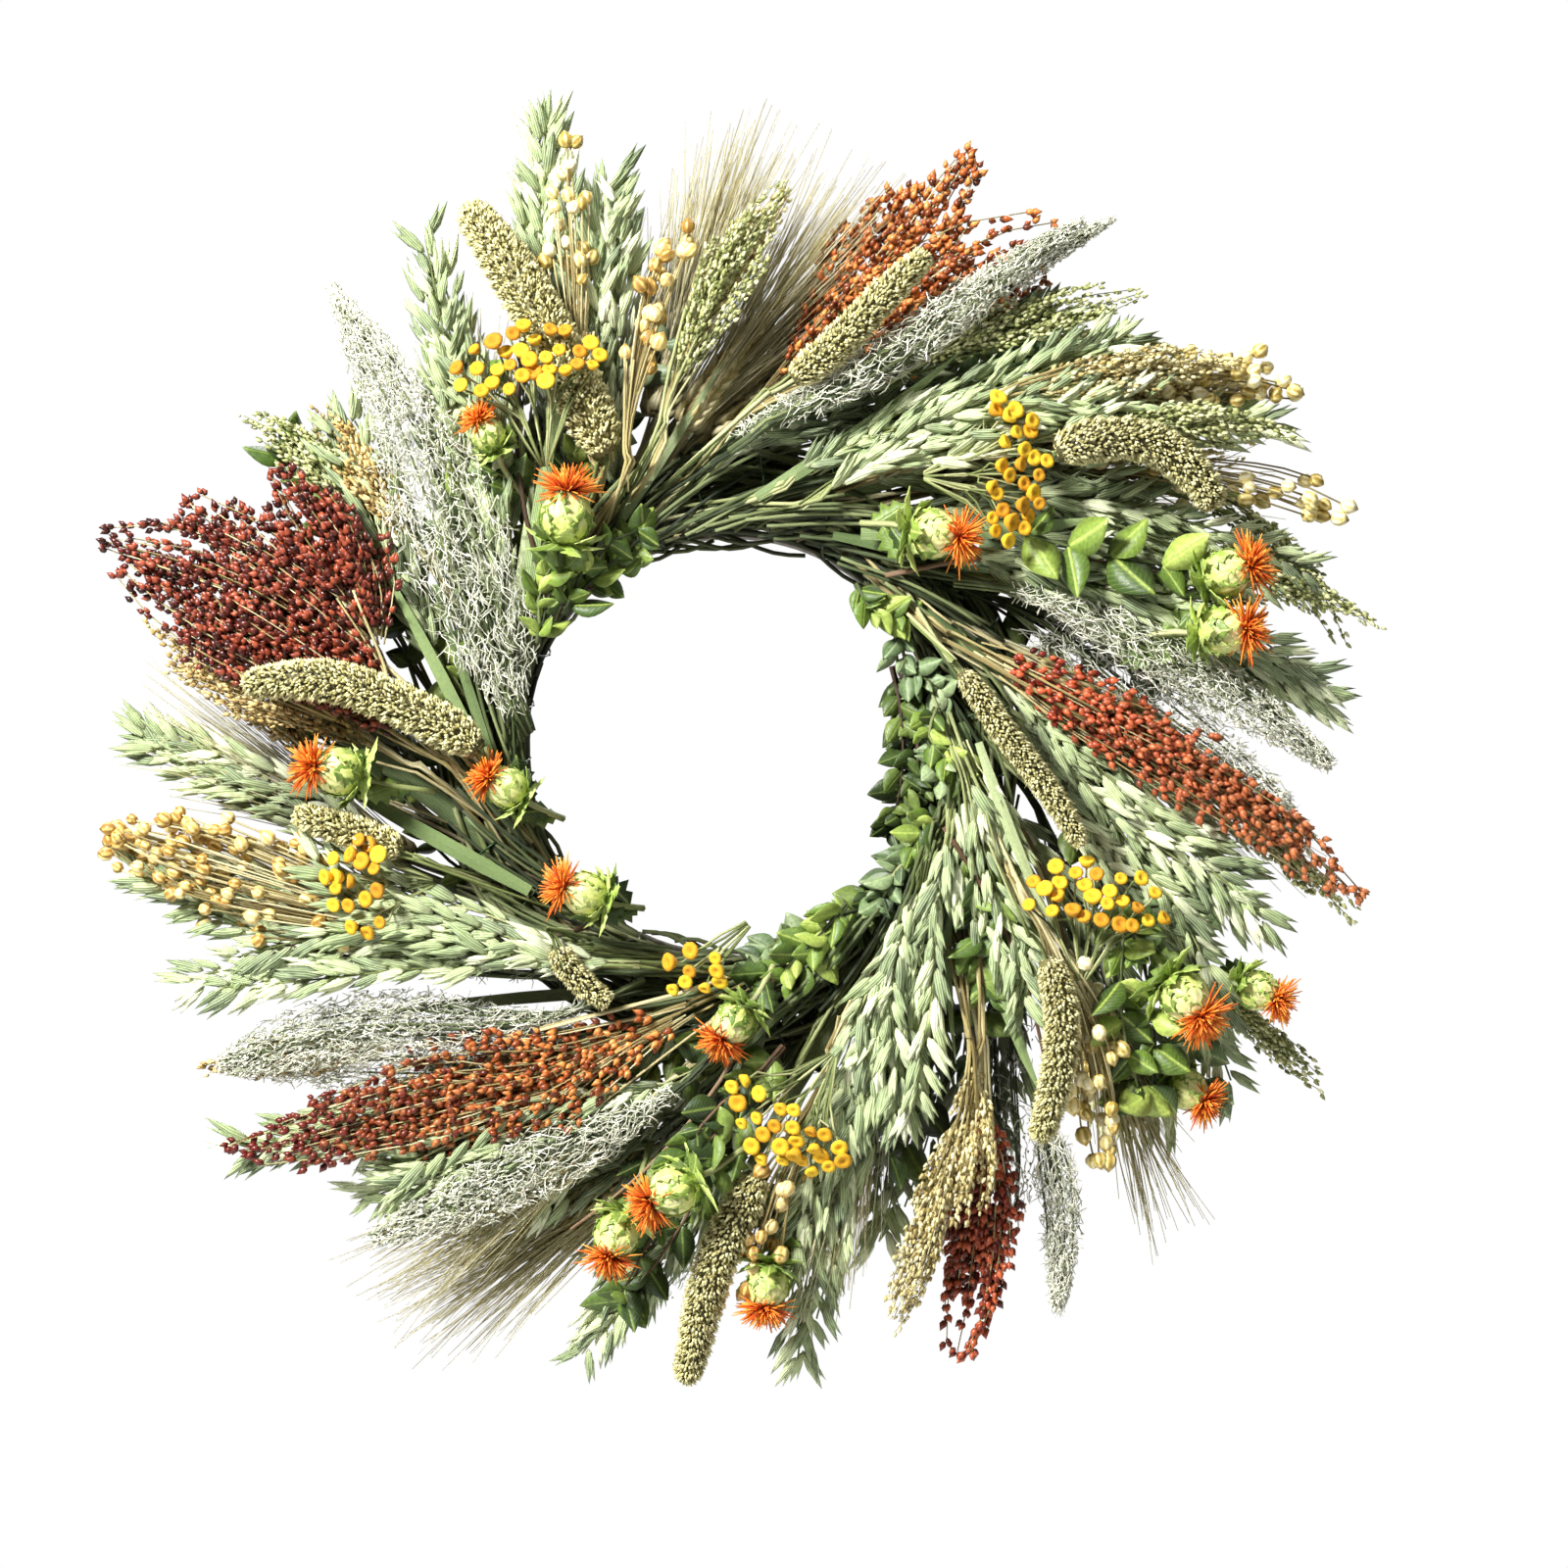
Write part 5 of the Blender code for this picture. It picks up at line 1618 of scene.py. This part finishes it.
under_growth()
inner_leaves()
rope()
binding()
reeds()
safflowers()
tansies()
wire_ring("outer_wire", "frame_outer_ring", OUTER_RING - RING_WIRE, RING_WIRE)
INNER_LOW, INNER_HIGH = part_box("frame_inner_ring")
INNER_RING = (INNER_HIGH.x - INNER_LOW.x) / 2.0 / MM
wire_ring("inner_wire", "frame_inner_ring", INNER_RING - RING_WIRE, RING_WIRE)
for node in ("hanging_loop", "frame_crossbar_1", "frame_crossbar_2", "frame_crossbar_3", "frame_crossbar_4"):
    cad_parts[node].data.materials.clear()
    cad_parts[node].data.materials.append(BARE_WIRE)


# ---------------------------------------------------------------- floor, light and camera

def seen_otherwise(tree, kind, colour, lit, output):
    """Gives the camera a plain glow of a colour where the light of the scene meets the lit shader."""
    glow = tree.nodes.new(kind)
    glow.inputs["Color"].default_value = colour
    ray = tree.nodes.new("ShaderNodeLightPath")
    choose = tree.nodes.new("ShaderNodeMixShader")
    tree.links.new(ray.outputs["Is Camera Ray"], choose.inputs[0])
    tree.links.new(tree.nodes[lit].outputs[0], choose.inputs[1])
    tree.links.new(glow.outputs[0], choose.inputs[2])
    tree.links.new(choose.outputs[0], tree.nodes[output].inputs["Surface"])


def area_light(name, where, aim, size, power):
    """A soft square lamp aimed at a point."""
    lamp = bpy.data.lights.new(name, "AREA")
    lamp.size = size
    lamp.energy = power
    made = bpy.data.objects.new(name, lamp)
    bpy.context.scene.collection.objects.link(made)
    made.location = where
    made.rotation_euler = (aim - made.location).to_track_quat("-Z", "Y").to_euler()


fresh()
bpy.ops.mesh.primitive_plane_add(size=8.0, location=(0.0, 0.0, -1.5))
floor = bpy.context.object
floor.name = "floor"
pale_floor = bpy.data.materials.new("pale_floor")
pale_floor.use_nodes = True
pale_floor.node_tree.nodes["Principled BSDF"].inputs["Base Color"].default_value = (0.8, 0.8, 0.8, 1.0)
pale_floor.node_tree.nodes["Principled BSDF"].inputs["Roughness"].default_value = 0.9
seen_otherwise(pale_floor.node_tree, "ShaderNodeEmission", (0.86, 0.86, 0.86, 1.0), "Principled BSDF",
               "Material Output")
floor.data.materials.append(pale_floor)

world = bpy.data.worlds.new("studio")
bpy.context.scene.world = world
world.use_nodes = True
world.node_tree.nodes["Background"].inputs["Color"].default_value = (1.0, 1.0, 1.0, 1.0)
world.node_tree.nodes["Background"].inputs["Strength"].default_value = 0.03
seen_otherwise(world.node_tree, "ShaderNodeBackground", (1.0, 1.0, 1.0, 1.0), "Background", "World Output")

area_light("key", (-1.4, -1.7, 1.15), RING_MIDDLE, 0.5, 164.0)
area_light("fill", (1.8, -1.6, -0.2), RING_MIDDLE, 1.6, 5.0)
area_light("rim", (0.3, -0.6, 1.6), RING_MIDDLE, 0.8, 14.0)
area_light("back", (0.4, 2.2, 0.9), RING_MIDDLE, 1.6, 60.0)

camera = bpy.data.objects.new("camera", bpy.data.cameras.new("camera"))
bpy.context.scene.collection.objects.link(camera)
camera.data.lens = 100.0
camera.data.sensor_width = 36.0
camera.location = (0.0231, -1.927, RING_MIDDLE.z - 0.0168)
camera.rotation_euler = (math.pi / 2, 0.0, 0.0)
bpy.context.scene.camera = camera
bpy.context.scene.view_settings.view_transform = "Standard"
